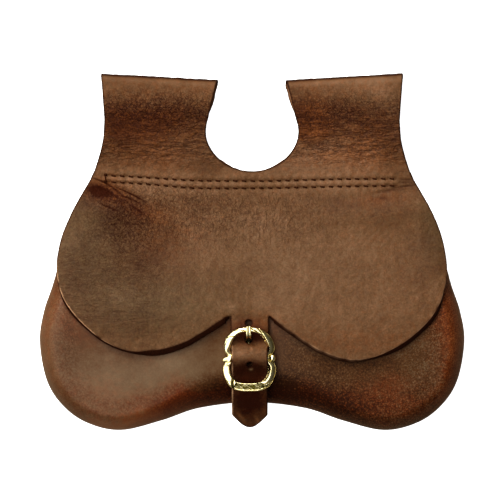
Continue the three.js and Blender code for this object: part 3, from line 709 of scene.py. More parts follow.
# The flap's dye in the same way, with some painted light and shade, then its small stains with the strap's
# painted shade and highlights, and where its grain is cracked.
FLAP_DYE_AND_LIGHT = [
    (-70, 17, 15, 12, 30, -0.6), (-90, 16, 8, 14, -20, 0.35), (-56, 0, 20, 16, 0, -0.35),
    (-50, -12, 30, 16, 0, -0.2), (-90, -4, 16, 30, 0, -0.3), (-60, -38, 24, 10, -10, -0.3),
    (-52, 74, 46, 7, 0, -0.42), (-46, 66, 24, 9, 0, -0.34), (-72, 62, 10, 10, 0, -0.5),
    (-40, 53, 16, 8, 0, 0.4), (-46, 89, 40, 6, 0, 0.05), (-60, 50, 24, 6, 0, 0.1),
    (46, 75, 24, 9, 0, -0.35), (72, 66, 12, 14, 0, -0.2), (69, 86, 7, 9, 0, 0.5),
    (50, 88, 30, 6, 0, 0.25), (26, 66, 8, 10, 0, -0.3), (46, 51, 40, 8, 0, 0.95),
    (0, 24, 100, 6, 0, -0.15), (8, -6, 46, 26, 0, 0.13), (6, 14, 20, 8, 0, 0.25),
    (66, -30, 30, 20, 0, 0.14), (60, 2, 26, 20, 0, -0.05), (0, 37, 90, 5, 0, 0.1),
    (42, 37, 18, 5, 0, 0.45), (96, -4, 12, 24, 0, -0.48), (-50, 36, 30, 6, 0, 0.4),
    (-90, 27, 9, 8, 0, -0.45), (-32, 8, 11, 12, 0, 0.3), (52, -20, 14, 10, 0, -0.2),
    (-11, -32, 4, 5, 0, 0.5), (100, -20, 5, 12, 0, 0.4), (75, 52, 10, 8, 0, -0.35),
    (-24, 43, 8, 6, 0, -0.3), (-70, 34, 10, 5, 0, 0.25), (-70, -24, 12, 8, 0, 0.25),
    (6, -8, 20, 8, 0, -0.1),
]
FLAP_REDS = [
    (-48, 6, 20, 12, 0, 0.5), (60, -48, 34, 6, 0, 0.3), (28, 72, 16, 10, 0, 1.1),
    (68, 80, 12, 8, 0, -0.2), (50, 88, 36, 6, 0, 0.1), (-46, 88, 40, 6, 0, 0.2), (46, 50, 36, 6, 0, 0.3),
    (24, 67, 12, 8, 0, 0.9), (64, 64, 20, 16, 0, 0.7), (-62, 68, 34, 11, 0, 1.2), (70, 28, 18, 4, 6, 0.5),
    (-56, 50, 30, 8, 0, 0.5), (-54, 20, 10, 5, 0, 0.6), (-88, 0, 26, 34, 0, -0.9),
    (-50, -30, 34, 16, 0, -0.8), (99, 12, 10, 18, 0, -0.9), (0, -10, 60, 30, 0, -0.25),
]
# Stains, and painted light and shade on the strap: shadow under the upper loop and down its far slope,
# highlights on its crest and on the lower hole's lit wall, and pale scuffs at the tip.
STAIN_AND_SHADE_TONES = [
    (-81.5, 32.4, 5.5, 3, -15, -2.2), (-72.6, 29.5, 8, 3, -25, -0.3), (-4, -37, 10, 5, 0, -0.5),
    (-1, -45, 12, 4, 0, -1.25), (-2, -54, 9, 3.2, 0, 0.2), (-7, -53, 3, 4, 0, 0.3),
    (-0.4, -51.2, 0.7, 1.8, 0, 0.7), (-1, -78, 12, 15, 0, -1.3), (-1, -63, 12, 5, 0, -1.0),
    (-0.6, -62.5, 1.1, 0.9, 0, 2.6), (-6, -88, 1.0, 4, 40, 0.9), (3, -90, 0.8, 3, 30, 0.8),
]
# Redder in the strap's painted shade, and greyer in the lower hole's painted highlight.
STAIN_AND_SHADE_REDS = [
    (-78, 31.5, 14, 7, -18, 1.5), (-1, -56, 12, 10, 0, -0.1), (-1, -42, 12, 7, 0, 1.3),
    (-1, -78, 12, 16, 0, 0.9), (-0.6, -62.5, 1.6, 1.4, 0, -1.6),
]
CRACKLED = [
    (-50, 75, 40, 8, 0, 2.2), (40, 74, 30, 9, 0, 1.4), (-66, 16, 16, 14, 0, 1.4),
    (-20, 18, 40, 10, 0, 0.8), (-76, 30, 10, 5, -20, 1.5), (-70, -6, 30, 26, 0, 0.5),
    (-50, 10, 22, 20, 0, 0.3), (-45, 31, 40, 7, 0, 0.8),
]
# Creases pressed in by bending: where each starts and ends, its depth and its half width.
CREASES = [
    (-86, 39.4, -74, 34.2, 0.7, 0.4), (-79, 36.9, -62.5, 31.2, 0.35, 0.35),
    (-75, 35.2, -55.5, 25.9, 0.8, 0.4), (-71.5, 30.4, -59, 25.3, 0.6, 0.35),
    (-77.9, 35.9, -68.6, 29.6, 0.7, 0.4), (-86, 34.5, -70, 28.4, 0.3, 0.6),
    (-80.5, 25.2, -71.5, 21.2, 0.5, 0.4), (-64, 24.5, -57, 18.5, 0.4, 0.4),
    (77.5, 38.2, 87.5, 37.6, 0.4, 0.6), (77.5, 36.4, 88.5, 36.4, 0.4, 0.6),
    (74, 33.4, 89, 35.2, 0.5, 0.5), (62, 30.6, 84, 33.4, 0.35, 0.7), (66, 28.6, 74, 27.4, 0.25, 0.7),
]


def strap_height(y):
    """The strap's upper side, read off STRAP_LINE with a smooth slope at each row."""
    rows = STRAP_LINE[::-1]
    slope = np.gradient(rows[:, 1], rows[:, 0])
    y = np.clip(y, rows[0, 0], rows[-1, 0])
    i = np.clip(np.searchsorted(rows[:, 0], y) - 1, 0, len(rows) - 2)
    width = rows[i + 1, 0] - rows[i, 0]
    u = (y - rows[i, 0]) / width
    rise = (3 * u**2 - 2 * u**3) * (rows[i + 1, 1] - rows[i, 1])
    return rows[i, 1] + rise + width * ((u**3 - 2 * u**2 + u) * slope[i] + (u**3 - u**2) * slope[i + 1])


YOKE_UNDER = BAG_THICK + GAP
SEWN_TOP = YOKE_UNDER + 2 * FLAP_THICK + GAP
FOLD = BELT_ROOM / 2 + FLAP_THICK


def fold_centre(x):
    """How far up the folds' axis runs: the folds' radius below the loops' slightly sloping tops."""
    share = (np.abs(x) - LOOP["inner"]) / (LOOP["outer"] - LOOP["inner"])
    return mix(LOOP["top_inner"], LOOP["top_outer"], share) - FOLD


def flap_on_bag(x, y):
    """The flap's upper side on the bag. It bridges the bag's edge and lifts beside the strap."""
    inside = inside_bag(x, y)
    bridge = rounded((inside + BRIDGE) / (roll_width(x, y) + BRIDGE))
    beside = hump(np.abs(x) - LIFT["beside"], LIFT["width"])
    lift = LIFT["height"] * beside * ease(LIFT["from"], LIFT["full"], y)
    return widest_height(y) + bag_depth(x, y) * bridge + GAP + LOOSE + FLAP_THICK + lift


def flap_height(x, y):
    """Upper side of the front leather: the loops, level in the seam, over the bag, and along the strap."""
    loop = mix(SEWN_TOP, 2 * FOLD, ease(SEWN_FROM, SEWN_FROM + LOOP_RISE, y))
    climbed = mix(CLIMB["middle"], CLIMB["side"], towards_corner(x))
    on_bag = mix(SEWN_TOP, flap_on_bag(x, y), ease(CLIMB["from"], climbed, y))
    strap = ease(STRAP["flap_ends"], STRAP["leaves"], y)
    strap = strap * ease(STRAP["blend"], STRAP["edge"], np.abs(x - STRAP["middle"]))
    return np.where(y > SEWN_FROM, loop, mix(on_bag, strap_height(y), strap))


def bend_flap(x, s):
    """The sheet's outer side in space. Along s it lies over the bag as far as the fold, turns half a circle,
    and comes back below. It returns the points and y, which is s up to the fold."""
    start = fold_centre(x)
    turned = np.clip((s - start) / FOLD, 0, np.pi)
    behind = np.maximum(0, s - start - np.pi * FOLD)
    y = np.minimum(s, start) + FOLD * np.sin(turned) - behind
    rear = YOKE_UNDER * (1 - ease(YOKE["leaves"], YOKE["flat"], y))
    z = np.where(s <= start, flap_height(x, y), FOLD * (1 + np.cos(turned)) + np.where(behind > 0, rear, 0))
    return np.stack([x, y, z], 1), y


def to_sheet(ring, layer):
    """The ring with y changed to the place along the sheet, on its front and its fold, or behind."""
    x, y = ring.T
    start = fold_centre(x)
    turned = np.arcsin(np.clip((y - start) / FOLD, 0, 1))
    front = np.minimum(y, start) + FOLD * turned
    behind = np.maximum(start, 2 * start - y) + FOLD * (np.pi - turned)
    return np.stack([x, front if layer == "front" else behind], 1)


def length_along(line):
    """How far along the line each of its points lies."""
    return np.concatenate([[0], np.cumsum(np.linalg.norm(np.diff(line, axis=0), axis=1))])


def points_at(line, at):
    """The line's points at distances along it."""
    length = length_along(line)
    return np.stack([np.interp(at, length, column) for column in line.T], 1)


def resampled(ring, spacing):
    """The closed ring with its points about a spacing apart, measured along it."""
    closed = np.vstack([ring, ring[:1]])
    length = length_along(closed)[-1]
    return points_at(closed, np.linspace(0, length, int(length / spacing), endpoint=False))


def rows_of_points(low, high, spacing):
    """Rows of points a spacing apart between two corners, every other row moved by half."""
    rows = np.arange(low[1], high[1], spacing * 0.866)
    columns = np.arange(low[0], high[0], spacing)
    x = columns + spacing / 2 * (np.arange(len(rows)) % 2)[:, None]
    return np.stack([x.ravel(), np.repeat(rows, len(columns))], 1)


def leather_net(outer, holes, border, spacing, zones=()):
    """A flat net of triangles inside an outline and round its holes. A zone is two corners and a spacing of
    its own. It returns the points, the triangles and each border's point numbers."""
    rings = [resampled(ring, border) for ring in (outer, *holes)]
    grid = rows_of_points(outer.min(0), outer.max(0), spacing)
    for x1, y1, x2, y2, own in zones:
        within = np.all((grid > (x1, y1)) & (grid < (x2, y2)), axis=1)
        grid = np.vstack([grid[~within], rows_of_points((x1, y1), (x2, y2), own)])
    x, y = grid.T
    room = depth_inside(x, y, outer)
    for hole in holes:
        room = np.minimum(room, -depth_inside(x, y, hole))
    kept = room > 0.55 * border
    flat = np.concatenate([*rings, grid[kept]])
    starts = np.cumsum([0] + [len(ring) for ring in rings])
    loops = [np.arange(a, b) for a, b in zip(starts[:-1], starts[1:])]
    edges = np.concatenate([np.stack([loop, np.roll(loop, -1)], 1) for loop in loops])
    net = delaunay_2d_cdt(flat.tolist(), edges.tolist(), [], 0, 1e-6)
    faces = np.array(net[2])
    centre = flat[faces].mean(1)
    on_border = (faces < starts[-1]).all(1)
    inside = depth_inside(centre[on_border, 0], centre[on_border, 1], rings[0]) > 0
    for ring in rings[1:]:
        inside &= depth_inside(centre[on_border, 0], centre[on_border, 1], ring) < 0
    keep = ~on_border
    keep[on_border] = inside
    return flat, faces[keep], loops


def crease_lines(x, y, rows):
    """Grooves along short straight lines, deepest in their middle and fading to their ends."""
    total = np.zeros(x.shape)
    for x1, y1, x2, y2, depth, width in rows:
        length = math.hypot(x2 - x1, y2 - y1)
        dx, dy = (x2 - x1) / length, (y2 - y1) / length
        along = ((x - x1) * dx + (y - y1) * dy) / length
        across = (x - x1) * dy - (y - y1) * dx + 0.5 * np.sin(3 * along)
        fade = np.clip(4 * along * (1 - along), 0, 1) ** 0.7
        total -= depth * fade * hump(across, width)
    return total


def row_line(row, x):
    """How far up a row of stitches runs at x."""
    knots = np.array(SEAM_ROWS[row])
    curve = spline(knots, np.linspace(0, 1, 200))
    return np.interp(x, curve[:, 0], curve[:, 1])


def stitch_places(row):
    """Where a row's stitches start and end, and how far up."""
    first = THREAD["start"] + THREAD["first"]
    left = first + THREAD["pitch"] * np.arange(int((THREAD["end"] - first) / THREAD["pitch"]) + 1)
    right = left + THREAD["stitch"]
    lift = THREAD["stitch"] * math.tan(math.radians(THREAD["slant"])) / 2
    middle = row_line(row, (left + right) / 2)
    lean = (row_line(row, right) - row_line(row, left)) / 2
    return left, middle - lean + lift, right, middle + lean - lift


def seam_relief(x, s):
    """The hollow that a row of stitches pulls, deepest at their holes, and the puffs between the rows."""
    ends = band(x, -81, -78, 76, 79)
    hole = THREAD["start"] + THREAD["first"] - (THREAD["pitch"] - THREAD["stitch"]) / 2
    beat = np.cos(2 * np.pi * (x - hole) / THREAD["pitch"])
    low, high = row_line("lower", x), row_line("upper", x)
    patina_and_shade = hump(s - low, 0.8) + hump(s - high, 0.8)
    puff = hump((s - low) / (high - low) - 0.5, 0.42)
    beside = hump(s - high - 2.2, 1.3) + 0.7 * hump(s - low + 2.2, 1.3)
    return ends * (-(0.42 + 0.16 * beat) * patina_and_shade + (0.2 - 0.1 * beat) * puff + (0.1 - 0.1 * beat) * beside)


def flap_relief(x, s):
    """How far the flap's skin stands off its plain form: slow waves, ripples across the loops, wrinkles that
    hang below the seam, a net of fine furrows, creases, and the seam's hollows. Each is a height times an
    unevenness of its own size, which is drawn out along one axis where it runs one way."""
    loops = band(s, 44, 52, 72, 86)
    below = band(s, -10, 14, 26, 33) * ease(72, 34, np.abs(x + 14))
    left = ease(-40, -70, x) * ease(20, -4, s)
    waves = 0.3 * unevenness(x, s, 31, 5) + 0.14 * unevenness(x, s, 12, 6)
    sway = 2.5 * unevenness(x, s, 9, 9)
    ripples = 0.22 * unevenness(0.27 * x, s + sway, 2.6, 7) + 0.3 * furrows(0.32 * x, s + sway, 2.6, 17)
    hangs = 0.13 * unevenness(x + sway, 0.3 * s, 2.3, 10) + 0.15 * furrows(x + sway, 0.4 * s, 2.6, 18)
    drag = 0.14 * unevenness(0.3 * x, s + sway, 2.2, 13)
    net = 0.16 * furrows(x, s, 4.6, 14) + 0.1 * unevenness(x, s, 3.4, 15)
    fine = 0.05 * unevenness(x, s, 1.9, 11)
    strap = ease(STRAP["blend"], STRAP["edge"], np.abs(x - STRAP["middle"])) * ease(-30, -38, s)
    across = ripples * loops + hangs * below + drag * left
    return waves * (1 - strap) + across + net + fine + seam_relief(x, s) + crease_lines(x, s, CREASES)


def cut_shows_as_shadow(x, y):
    """How much higher the skin ends, so that more dark cut shows as painted shadow: along the left lobe to
    the strap, and at the right lobe's corner.
    """
    left = CUT_SHOWS_AS_SHADOW["left"] * band(x, -66, -52, -14, -11)
    right = CUT_SHOWS_AS_SHADOW["right"] * ease(60, 80, x)
    return (left + right) * ease(-20, -36, y)


def lobe_edge(side):
    """One side of the flap's outline, from the notch beside the strap up to the waist of the loop."""
    x, y = spline(FLAP_EDGE, np.linspace(0, 1, 90)).T
    line = np.stack([side * x, y - FLAP_SKEW * side * x * ease(20, -20, y)], 1)
    line[:, 1] += cut_shows_as_shadow(*line.T)
    line[:, 0] -= 1.3 * hump(line[:, 1] + 24, 9) * (line[:, 0] > 60)
    return line[np.abs(line[:, 0] - STRAP["middle"]) > STRAP["edge"] + 0.4]


def loop_side(side, edge):
    """A loop's inner or outer edge, from where it is straight up over the fold."""
    if edge == "outer":
        start, end = LOOP["waist"], (LOOP["outer"], LOOP["top_outer"])
    else:
        turn = NECK["turn"]
        start = (NECK["half"] * math.cos(turn), NECK["y"] + NECK["drop"] * math.sin(turn))
        end = (LOOP["inner"], LOOP["top_inner"])
    share = np.sin(np.linspace(0, np.pi / 2, 24))[:, None]
    return mix(np.array(start), np.array(end), share) * (side, 1)


def ragged(ring, amount, seed):
    """The ring with the small unevenness of a cut by hand."""
    x, y = ring.T
    return ring + amount * np.stack([unevenness(x, y, 3.1, seed), unevenness(x, y, 2.3, seed + 1)], 1)


def flap_outer():
    """The sheet's outline: strap, left lobe, left loop over and behind, rear end, and the right side."""
    edge, slim = STRAP["edge"], STRAP["slim"]
    half = [(edge, STRAP["notch"]), (edge, STRAP["narrows"]), (slim, STRAP["narrow"])]
    tip = [(slim, STRAP["corner"]), *STRAP_TIP]
    end = spline([*tip, (0, STRAP["tip"]), *mirrored(tip)], np.linspace(0, 1, 40))
    strap = np.vstack([half, end, mirrored(half)]) + (STRAP["middle"], 0)

    def side(sign):
        """From the notch round the lobe, up the loop, over the fold and down to the rear end."""
        front = np.vstack([lobe_edge(sign), loop_side(sign, "outer")[1:]])
        behind = front[front[:, 1] > YOKE["end"]][::-1]
        behind = np.vstack([behind, (behind[-1, 0], YOKE["end"])])
        return np.vstack([to_sheet(front, "front"), to_sheet(behind[1:], "behind")])

    left, right = side(-1), side(1)
    rear = np.linspace((left[-1, 0], YOKE["end"]), (right[-1, 0], YOKE["end"]), 60)[1:-1]
    return np.vstack([strap[::-1], right, to_sheet(rear, "behind")[::-1], left[::-1]])


def neck_hole():
    """The round cut between the loops, on the front, over the folds and behind, where it is cut smaller."""
    angle = np.linspace(-np.pi - NECK["turn"], NECK["turn"], 70)
    arc = np.stack([NECK["half"] * np.cos(angle), NECK["y"] + NECK["drop"] * np.sin(angle)], 1)
    front = np.vstack([loop_side(-1, "inner")[:0:-1], arc, loop_side(1, "inner")[1:]])
    behind = ragged(front[::-1], 0.22, 21)
    peek = np.where(behind[:, 0] < 0, PEEK["left"], PEEK["right"])
    peek = peek * band(behind[:, 1], PEEK["from"], PEEK["full"], PEEK["last"], LOOP["top_outer"])
    behind[:, 0] += np.where(behind[:, 0] < 0, peek, -peek)
    return np.vstack([to_sheet(front, "front"), to_sheet(behind[1:-1], "behind")])


def oval(x, y, half_x, half_y):
    """Points once round an oval, in the order that a hole has."""
    angle = np.linspace(0, 2 * np.pi, 40, endpoint=False)
    return np.stack([x + half_x * np.cos(angle), y - half_y * np.sin(angle)], 1)


flap_rings = (ragged(flap_outer(), 0.06, 31), [neck_hole()[::-1], *[oval(*hole) for hole in HOLES]])
flat, skin_faces, skin_loops = leather_net(*flap_rings, NET["border"], NET["skin"], NET_ZONES)
skin, _ = bend_flap(*flat.T)
skin += normals_of(skin, skin_faces) * flap_relief(*flat.T)[:, None]
skin[:, 2] = np.maximum(skin[:, 2], 0)
flat_lining, lining_faces, lining_loops = leather_net(*flap_rings, NET["border"], NET["lining"])
lining, _ = bend_flap(*flat_lining.T)
lining -= normals_of(lining, lining_faces) * FLAP_THICK
# The lobes' lower edges lean out, so that their cut shows from above, most where an edge runs across. Its
# dark colour stands as painted shadow under the flap's edge.
x, s = flat[skin_loops[0]].T
level = unit(np.gradient(np.stack([x, s], 1), axis=0))[:, 0]
shadow_rise = cut_shows_as_shadow(x, s - 2)
lean = np.where(x < 0, EDGE_LEAN["left"], mix(EDGE_LEAN["right"], EDGE_LEAN["corner"], ease(50, 66, x)))
lean = lean * ease(0.1, 0.7, level)
lean = lean + shadow_rise * np.clip(level, 0, 1)
lean *= (np.abs(x - STRAP["middle"]) > STRAP["edge"] + 0.5) * ease(10, -10, s)
loops = list(zip(skin_loops, lining_loops))
points, faces, marks = leather(skin, skin_faces, lining, lining_faces, loops, FLAP_BOW, lean[:, None])
rest = len(points) - len(flat) - len(flat_lining)
sheet = np.concatenate([flat, flat_lining, points[-rest:, :2]])
x, s = sheet.T
# Painted shade darkens the creases, the seam's hollows and the folds' tops, and painted light lifts the
# puffs between the seam's rows. The strap's stains and painted shade don't waver.
drift = 4 * unevenness(x, s, 14, 12) * ease(-30, -24, s)
marks["tone"] = patches(x + drift, s + 0.5 * drift, FLAP_DYE_AND_LIGHT) + patches(x, s, STAIN_AND_SHADE_TONES)
marks["red"] = patches(x - drift, s + 0.5 * drift, FLAP_REDS) + patches(x, s, STAIN_AND_SHADE_REDS)
marks["tone"] += 1.6 * crease_lines(x, s, CREASES) + 0.8 * seam_relief(x, s)
_, y = bend_flap(x, s)
# Painted shade on the top of each fold, where it turns away over the loop.
marks["tone"] -= 1.4 * ease(0.62, 0.98, (y - fold_centre(x)) / FOLD)
loops = band(s, 40, 56, 78, 90)
marks["wrinkle"] = loops * ease(84, 70, s) + 0.5 * ease(-40, -60, x) * band(s, -50, -30, -6, 10)
marks["hang"] = band(s, -10, 14, 28, 34) * ease(72, 30, np.abs(x + 14))
# A painted highlight where the light from the left catches the cut: along its upper border on the lobes,
# most at the left, and down the strap's left. On the right lobe it also gives the cut's upper part a paler
# colour.
upper_border = np.zeros(len(x))
upper_border[skin_loops[0]] = 1
lobes = ease(12, 16, np.abs(x - STRAP["middle"])) * ease(0, -12, s)
cut_highlight_share = lobes * upper_border * (0.1 + 0.9 * ease(-70, -88, x) + 0.15 * ease(20, 40, x))
cut_highlight_share += lobes * 0.16 * band(x, 10, 30, 56, 66) * ease(0.5, 0.1, marks["deep"])
cut_highlight_share += 0.5 * band(x, -13, -11, -10, -8) * ease(-46, -52, s)
marks["cut_highlight"] = np.clip(cut_highlight_share * (0.6 + 0.9 * unevenness(x, s, 4, 41)), 0, 1)
marks["crackle"] = np.clip(0.4 + 0.4 * loops + 0.5 * patches(x, s, CRACKLED), 0, 1.8) * ease(96, 84, s)
marks["shine"] = np.clip(0.6 + 0.5 * marks["tone"], 0.05, 1)
flap_finish = leather_finish(
    "flap leather",
    dye={
        "Dark": srgb(41, 14, 4), "Middle": srgb(87, 60, 36), "Light": srgb(121, 90, 65),
        "Warm": (1.13, 0.74, 0.37, 1), "Clouds": 0.43,
    },
    grain={
        "per_metre": 700.0, "pebble": 0.5, "crease": 0.7, "wrinkle": 1.8, "shade": 0.55, "strength": 0.8,
        "depth": 0.22, "mottle": 0.4, "speckle": 1.8,
    },
    gloss={"rough": 0.6, "wax": 0.28, "wax rough": 0.5, "specular": 0.1},
)
add_piece("flap", points, faces, marks, flap_finish, "flap")

# ---- The double seam ---------------------------------------------------------------------------------
# Waxed linen thread, dark brown, sewn by hand with two needles. Two rows of slanting stitches hold the flap,
# the loops' rear ends and the back together, and a cross stitch joins the rows at their left end.
STITCH_FACES = {"rings": 7, "sides": 8}


def tube_faces(rings, sides):
    """Triangles round a tube of rings, closed by a fan at either end."""
    index = np.arange(rings * sides).reshape(rings, sides)
    fan_at = np.arange(1, sides - 1)
    first = np.stack([0 * fan_at, fan_at + 1, fan_at], 1)
    last = first[:, [0, 2, 1]] + (rings - 1) * sides
    return np.concatenate([grid_faces(index, around=True), first, last])


def stitches(starts, ends, high, dip):
    """Short threads from starts to ends, which dip into the leather at both ends: ovals along an arch, small
    at the ends, all of them in one mesh. high is an oval's height as a share of its width."""
    rings, sides = STITCH_FACES["rings"], STITCH_FACES["sides"]
    share = np.linspace(0, 1, rings)
    along = unit(ends - starts)[:, None, None]
    out = np.zeros_like(along) + np.array([0, 0, 1.0])
    side = np.cross(along, out)
    arch = (np.sqrt(np.clip(1 - (2 * share - 1) ** 4, 0, 1)) - 1) * dip
    middle = mix(starts[:, None], ends[:, None], share[:, None]) + arch[:, None] * (0, 0, 1)
    width = THREAD["radius"] * (0.35 + 0.65 * np.sqrt(np.clip(1 - (2 * share - 1) ** 6, 0, 1)))
    angle = np.linspace(0, 2 * np.pi, sides, endpoint=False)
    ring = np.cos(angle)[:, None] * side + high * np.sin(angle)[:, None] * out
    points = middle[:, :, None] + ring * width[:, None, None]
    faces = tube_faces(rings, sides) + (np.arange(len(starts)) * rings * sides)[:, None, None]
    return points.reshape(-1, 3), faces.reshape(-1, 3)


def thread_finish():
    """Twisted and waxed thread: fine slanting ridges in a dark brown, with a low sheen."""
    material, tree, shader, place = new_material("waxed thread")
    twist = step_node(
        tree, "ShaderNodeTexWave", {"wave_type": "BANDS", "bands_direction": "DIAGONAL"},
        {"Vector": place, "Scale": 900.0, "Distortion": 0.6},
    ).outputs["Fac"]
    feed(tree, shader, {
        "Base Color": tint(tree, twist, srgb(30, 12, 4), srgb(58, 28, 12)),
        "Roughness": between(tree, twist, 0, 1, 0.7, 0.5),
        "Normal": bumped(tree, twist, 0.5, 0.08),
        "Specular IOR Level": 0.1,
        "Specular Tint": (1, 0.6, 0.35, 1),
    })
    return material


rows = [stitch_places(row) for row in SEAM_ROWS]
# The cross stitch: one thread from row to row, and two short ones over each of its ends.
start = np.array([THREAD["start"]])
low, high = (row_line(row, start) for row in ("lower", "upper"))
rows.append((start - 0.15, high + 0.2, start + 0.15, low - 0.2))
for end in (low, high):
    rows.append((start - 1.1, end + 0.2, start + 1.1, end))
    rows.append((start - 0.9, end + 0.5, start + 1.0, end + 0.3))
x1, y1, x2, y2 = (np.concatenate(column) for column in zip(*rows))


def on_flap(x, y):
    """The middle of a thread that lies on the flap's skin, sunk in a little."""
    height = flap_height(x, y) + flap_relief(x, y) + THREAD["radius"] - THREAD["sunk"]
    return np.stack([x, y, height], 1)


upper = stitches(on_flap(x1, y1), on_flap(x2, y2), high=1, dip=1.2 * THREAD["radius"])
# Below, the thread is pulled flat into the back.
beneath = np.full(x1.shape, 0.05)
lower = stitches(np.stack([x1, y1, beneath], 1), np.stack([x2, y2, beneath], 1), high=0.2, dip=-0.1)
points = np.concatenate([upper[0], lower[0]])
faces = np.concatenate([upper[1], lower[1] + len(upper[0])])
add_piece("seam_stitches", points, faces, {}, thread_finish(), None)

# ---- The buckle's tab --------------------------------------------------------------------------------
# A short strip of 1.8 mm leather. It comes up off the bag, goes round the buckle's bar and back on itself,
# and a slot in its bend leaves room for the pin. It is sewn down below, hidden by the strap.
# The buckle's bar: where its middle lies, its radius and its half length.
BAR = {"x": -1.5, "y": -56.6, "z": 27.3, "radius": 1.4, "half": 9.6}
PIN_X = -1.8
TAB = {
    "half": 7.2, "corner": 1.2, "slot": 2.2, "slot starts": 3.9, "slot ends": 1.6, "back": -61, "foot": -67.4,
    "clear": 0.8, "thick": 1.8, "bow": 0.2, "net": 0.6, "step": 0.15, "on bag": 5.9,
}


def tab_line():
    """The tab's middle line seen from the side: along the bag, round the bar, and back. Its corners are
    smoothed by an average over 1.5 mm."""
    half = TAB["thick"] / 2
    y = np.linspace(TAB["foot"], BAR["y"] - 3, 12)
    beside, middle = (bag_top(np.full(y.shape, x), y) for x in (BAR["x"] - TAB["half"], BAR["x"]))
    z = np.maximum(beside, middle) + TAB["clear"] + half
    wrap = BAR["radius"] + GAP + half
    angle = np.radians(np.linspace(-90, 115, 40))
    bend = np.stack([BAR["y"] + wrap * np.cos(angle), BAR["z"] + wrap * np.sin(angle)], 1)
    end = (TAB["back"], np.interp(TAB["back"], y, z) + TAB["thick"] + GAP)
    line = np.vstack([np.stack([y, z], 1), bend, end])
    at = np.arange(0, length_along(line)[-1], TAB["step"])
    kernel = np.hanning(13)[1:-1] / np.hanning(13)[1:-1].sum()
    padded = np.pad(points_at(line, at), ((5, 5), (0, 0)), "edge")
    return at, np.stack([np.convolve(column, kernel, "valid") for column in padded.T], 1)


tab_at, tab_curve = tab_line()
tab_out = unit(np.gradient(tab_curve, axis=0) @ np.array([[0, -1.0], [1.0, 0]]))


def bend_tab(x, s, off):
    """A point of the strip: along the middle line by s, and off it by off."""
    y, z = (np.interp(s, tab_at, tab_curve[:, k] + off * tab_out[:, k]) for k in range(2))
    return np.stack([x, y, z], 1)


length = tab_at[-1]
half, corner = TAB["half"], TAB["corner"]
# The slot starts short of the bar. How far along the tab is read off its first stretch, on the bag.
on_bag = tab_at < TAB["on bag"]
slot_from = np.interp(BAR["y"] - TAB["slot starts"], tab_curve[on_bag, 0], tab_at[on_bag])
slot_to = length - TAB["slot ends"]
end = np.array([(-half, corner), (corner - half, 0), (half - corner, 0), (half, corner)])
tab_ring = np.vstack([end, (0, length) - end]) + (BAR["x"], 0)
slot_ring = oval(PIN_X, (slot_from + slot_to) / 2, TAB["slot"], (slot_to - slot_from) / 2)
slot_ring[:, 0] = PIN_X + TAB["slot"] * np.clip(1.6 * (slot_ring[:, 0] - PIN_X) / TAB["slot"], -1, 1)
flat, faces, loops = leather_net(tab_ring, [slot_ring], TAB["net"], TAB["net"])
inner, outer = (bend_tab(*flat.T, side * TAB["thick"] / 2) for side in (-1, 1))
points, faces, marks = leather(outer, faces, inner, faces, list(zip(loops, loops)), TAB["bow"])
marks.update({"tone": -0.5, "shine": 0.4})
add_piece("buckle_tab", points, faces, marks, flap_finish, "buckle_tab")

# ---- The buckle's frame ------------------------------------------------------------------------------
# Cast and polished brass: two loops like twisted leaves on either side of one bar, with a pointed bud at the
# bar's left end and a round one at its right. The hollows between the leaves keep a dark patina, and the
# outer facets on the loops' right side are darkened as painted shade.
TILT = math.radians(4)
# A loop's crown: how far from the bar and how high it stands. Corner is for the rod's section.
RIM = {"reach": 15.3, "rise": 2.8, "risen": 12, "corner": 0.68}
# Each loop's half width, its shift, the rod's half width at the crown, and how square the arch is.
UPPER = {"direction": 1, "half": 12.2, "offset": -0.3, "crown": 1.35, "square": (0.78, 0.82)}
LOWER = {"direction": -1, "half": 12.5, "offset": 0.1, "crown": 2.25, "square": (0.62, 0.7)}
# The rod's half height, its half width beside the bar and along the sides, and where that changes.
RIM_THICK = {"height": 1.45, "waist": 1.4, "side": 2.0, "full": 5, "crown": 9}
WAIST = {"pinch": 3.3, "width": 3.2}  # both loops are pinched in beside the bar
RIDGE = {"right": 0.95, "left": 0.2, "inside": 0.25}  # how steeply the rod falls off on either side
# Grooves across a loop: distance from the crown, slant, depth and half width, all along the loop.
UPPER_LEAVES = [
    (3.2, -2.6, 1.0, 0.42), (7.4, -2.2, 0.8, 0.36), (-3.8, -2.6, 0.9, 0.34), (-10.4, -0.9, 0.5, 0.3),
]
LOWER_LEAVES = [(-9.4, 0.8, 0.9, 0.7), (9.0, 2.2, 0.95, 0.42)]
# The sunk panel in the lower loop's crown, and the ridges of the rope in it.
PANEL = {"from": -7.4, "to": 7.6, "half": 0.6, "depth": 0.8, "pitch": 4.8, "ridge": 0.45}


def squared(wave, power):
    """A wave from -1 to 1, round at power 1 and squarer where power is small."""
    return np.sign(wave) * np.abs(wave) ** power


def section(sides, power):
    """The two waves that draw a rod's section once round."""
    turn = np.linspace(0, 2 * np.pi, sides, endpoint=False)[None]
    return squared(np.cos(turn), power), squared(np.sin(turn), power)


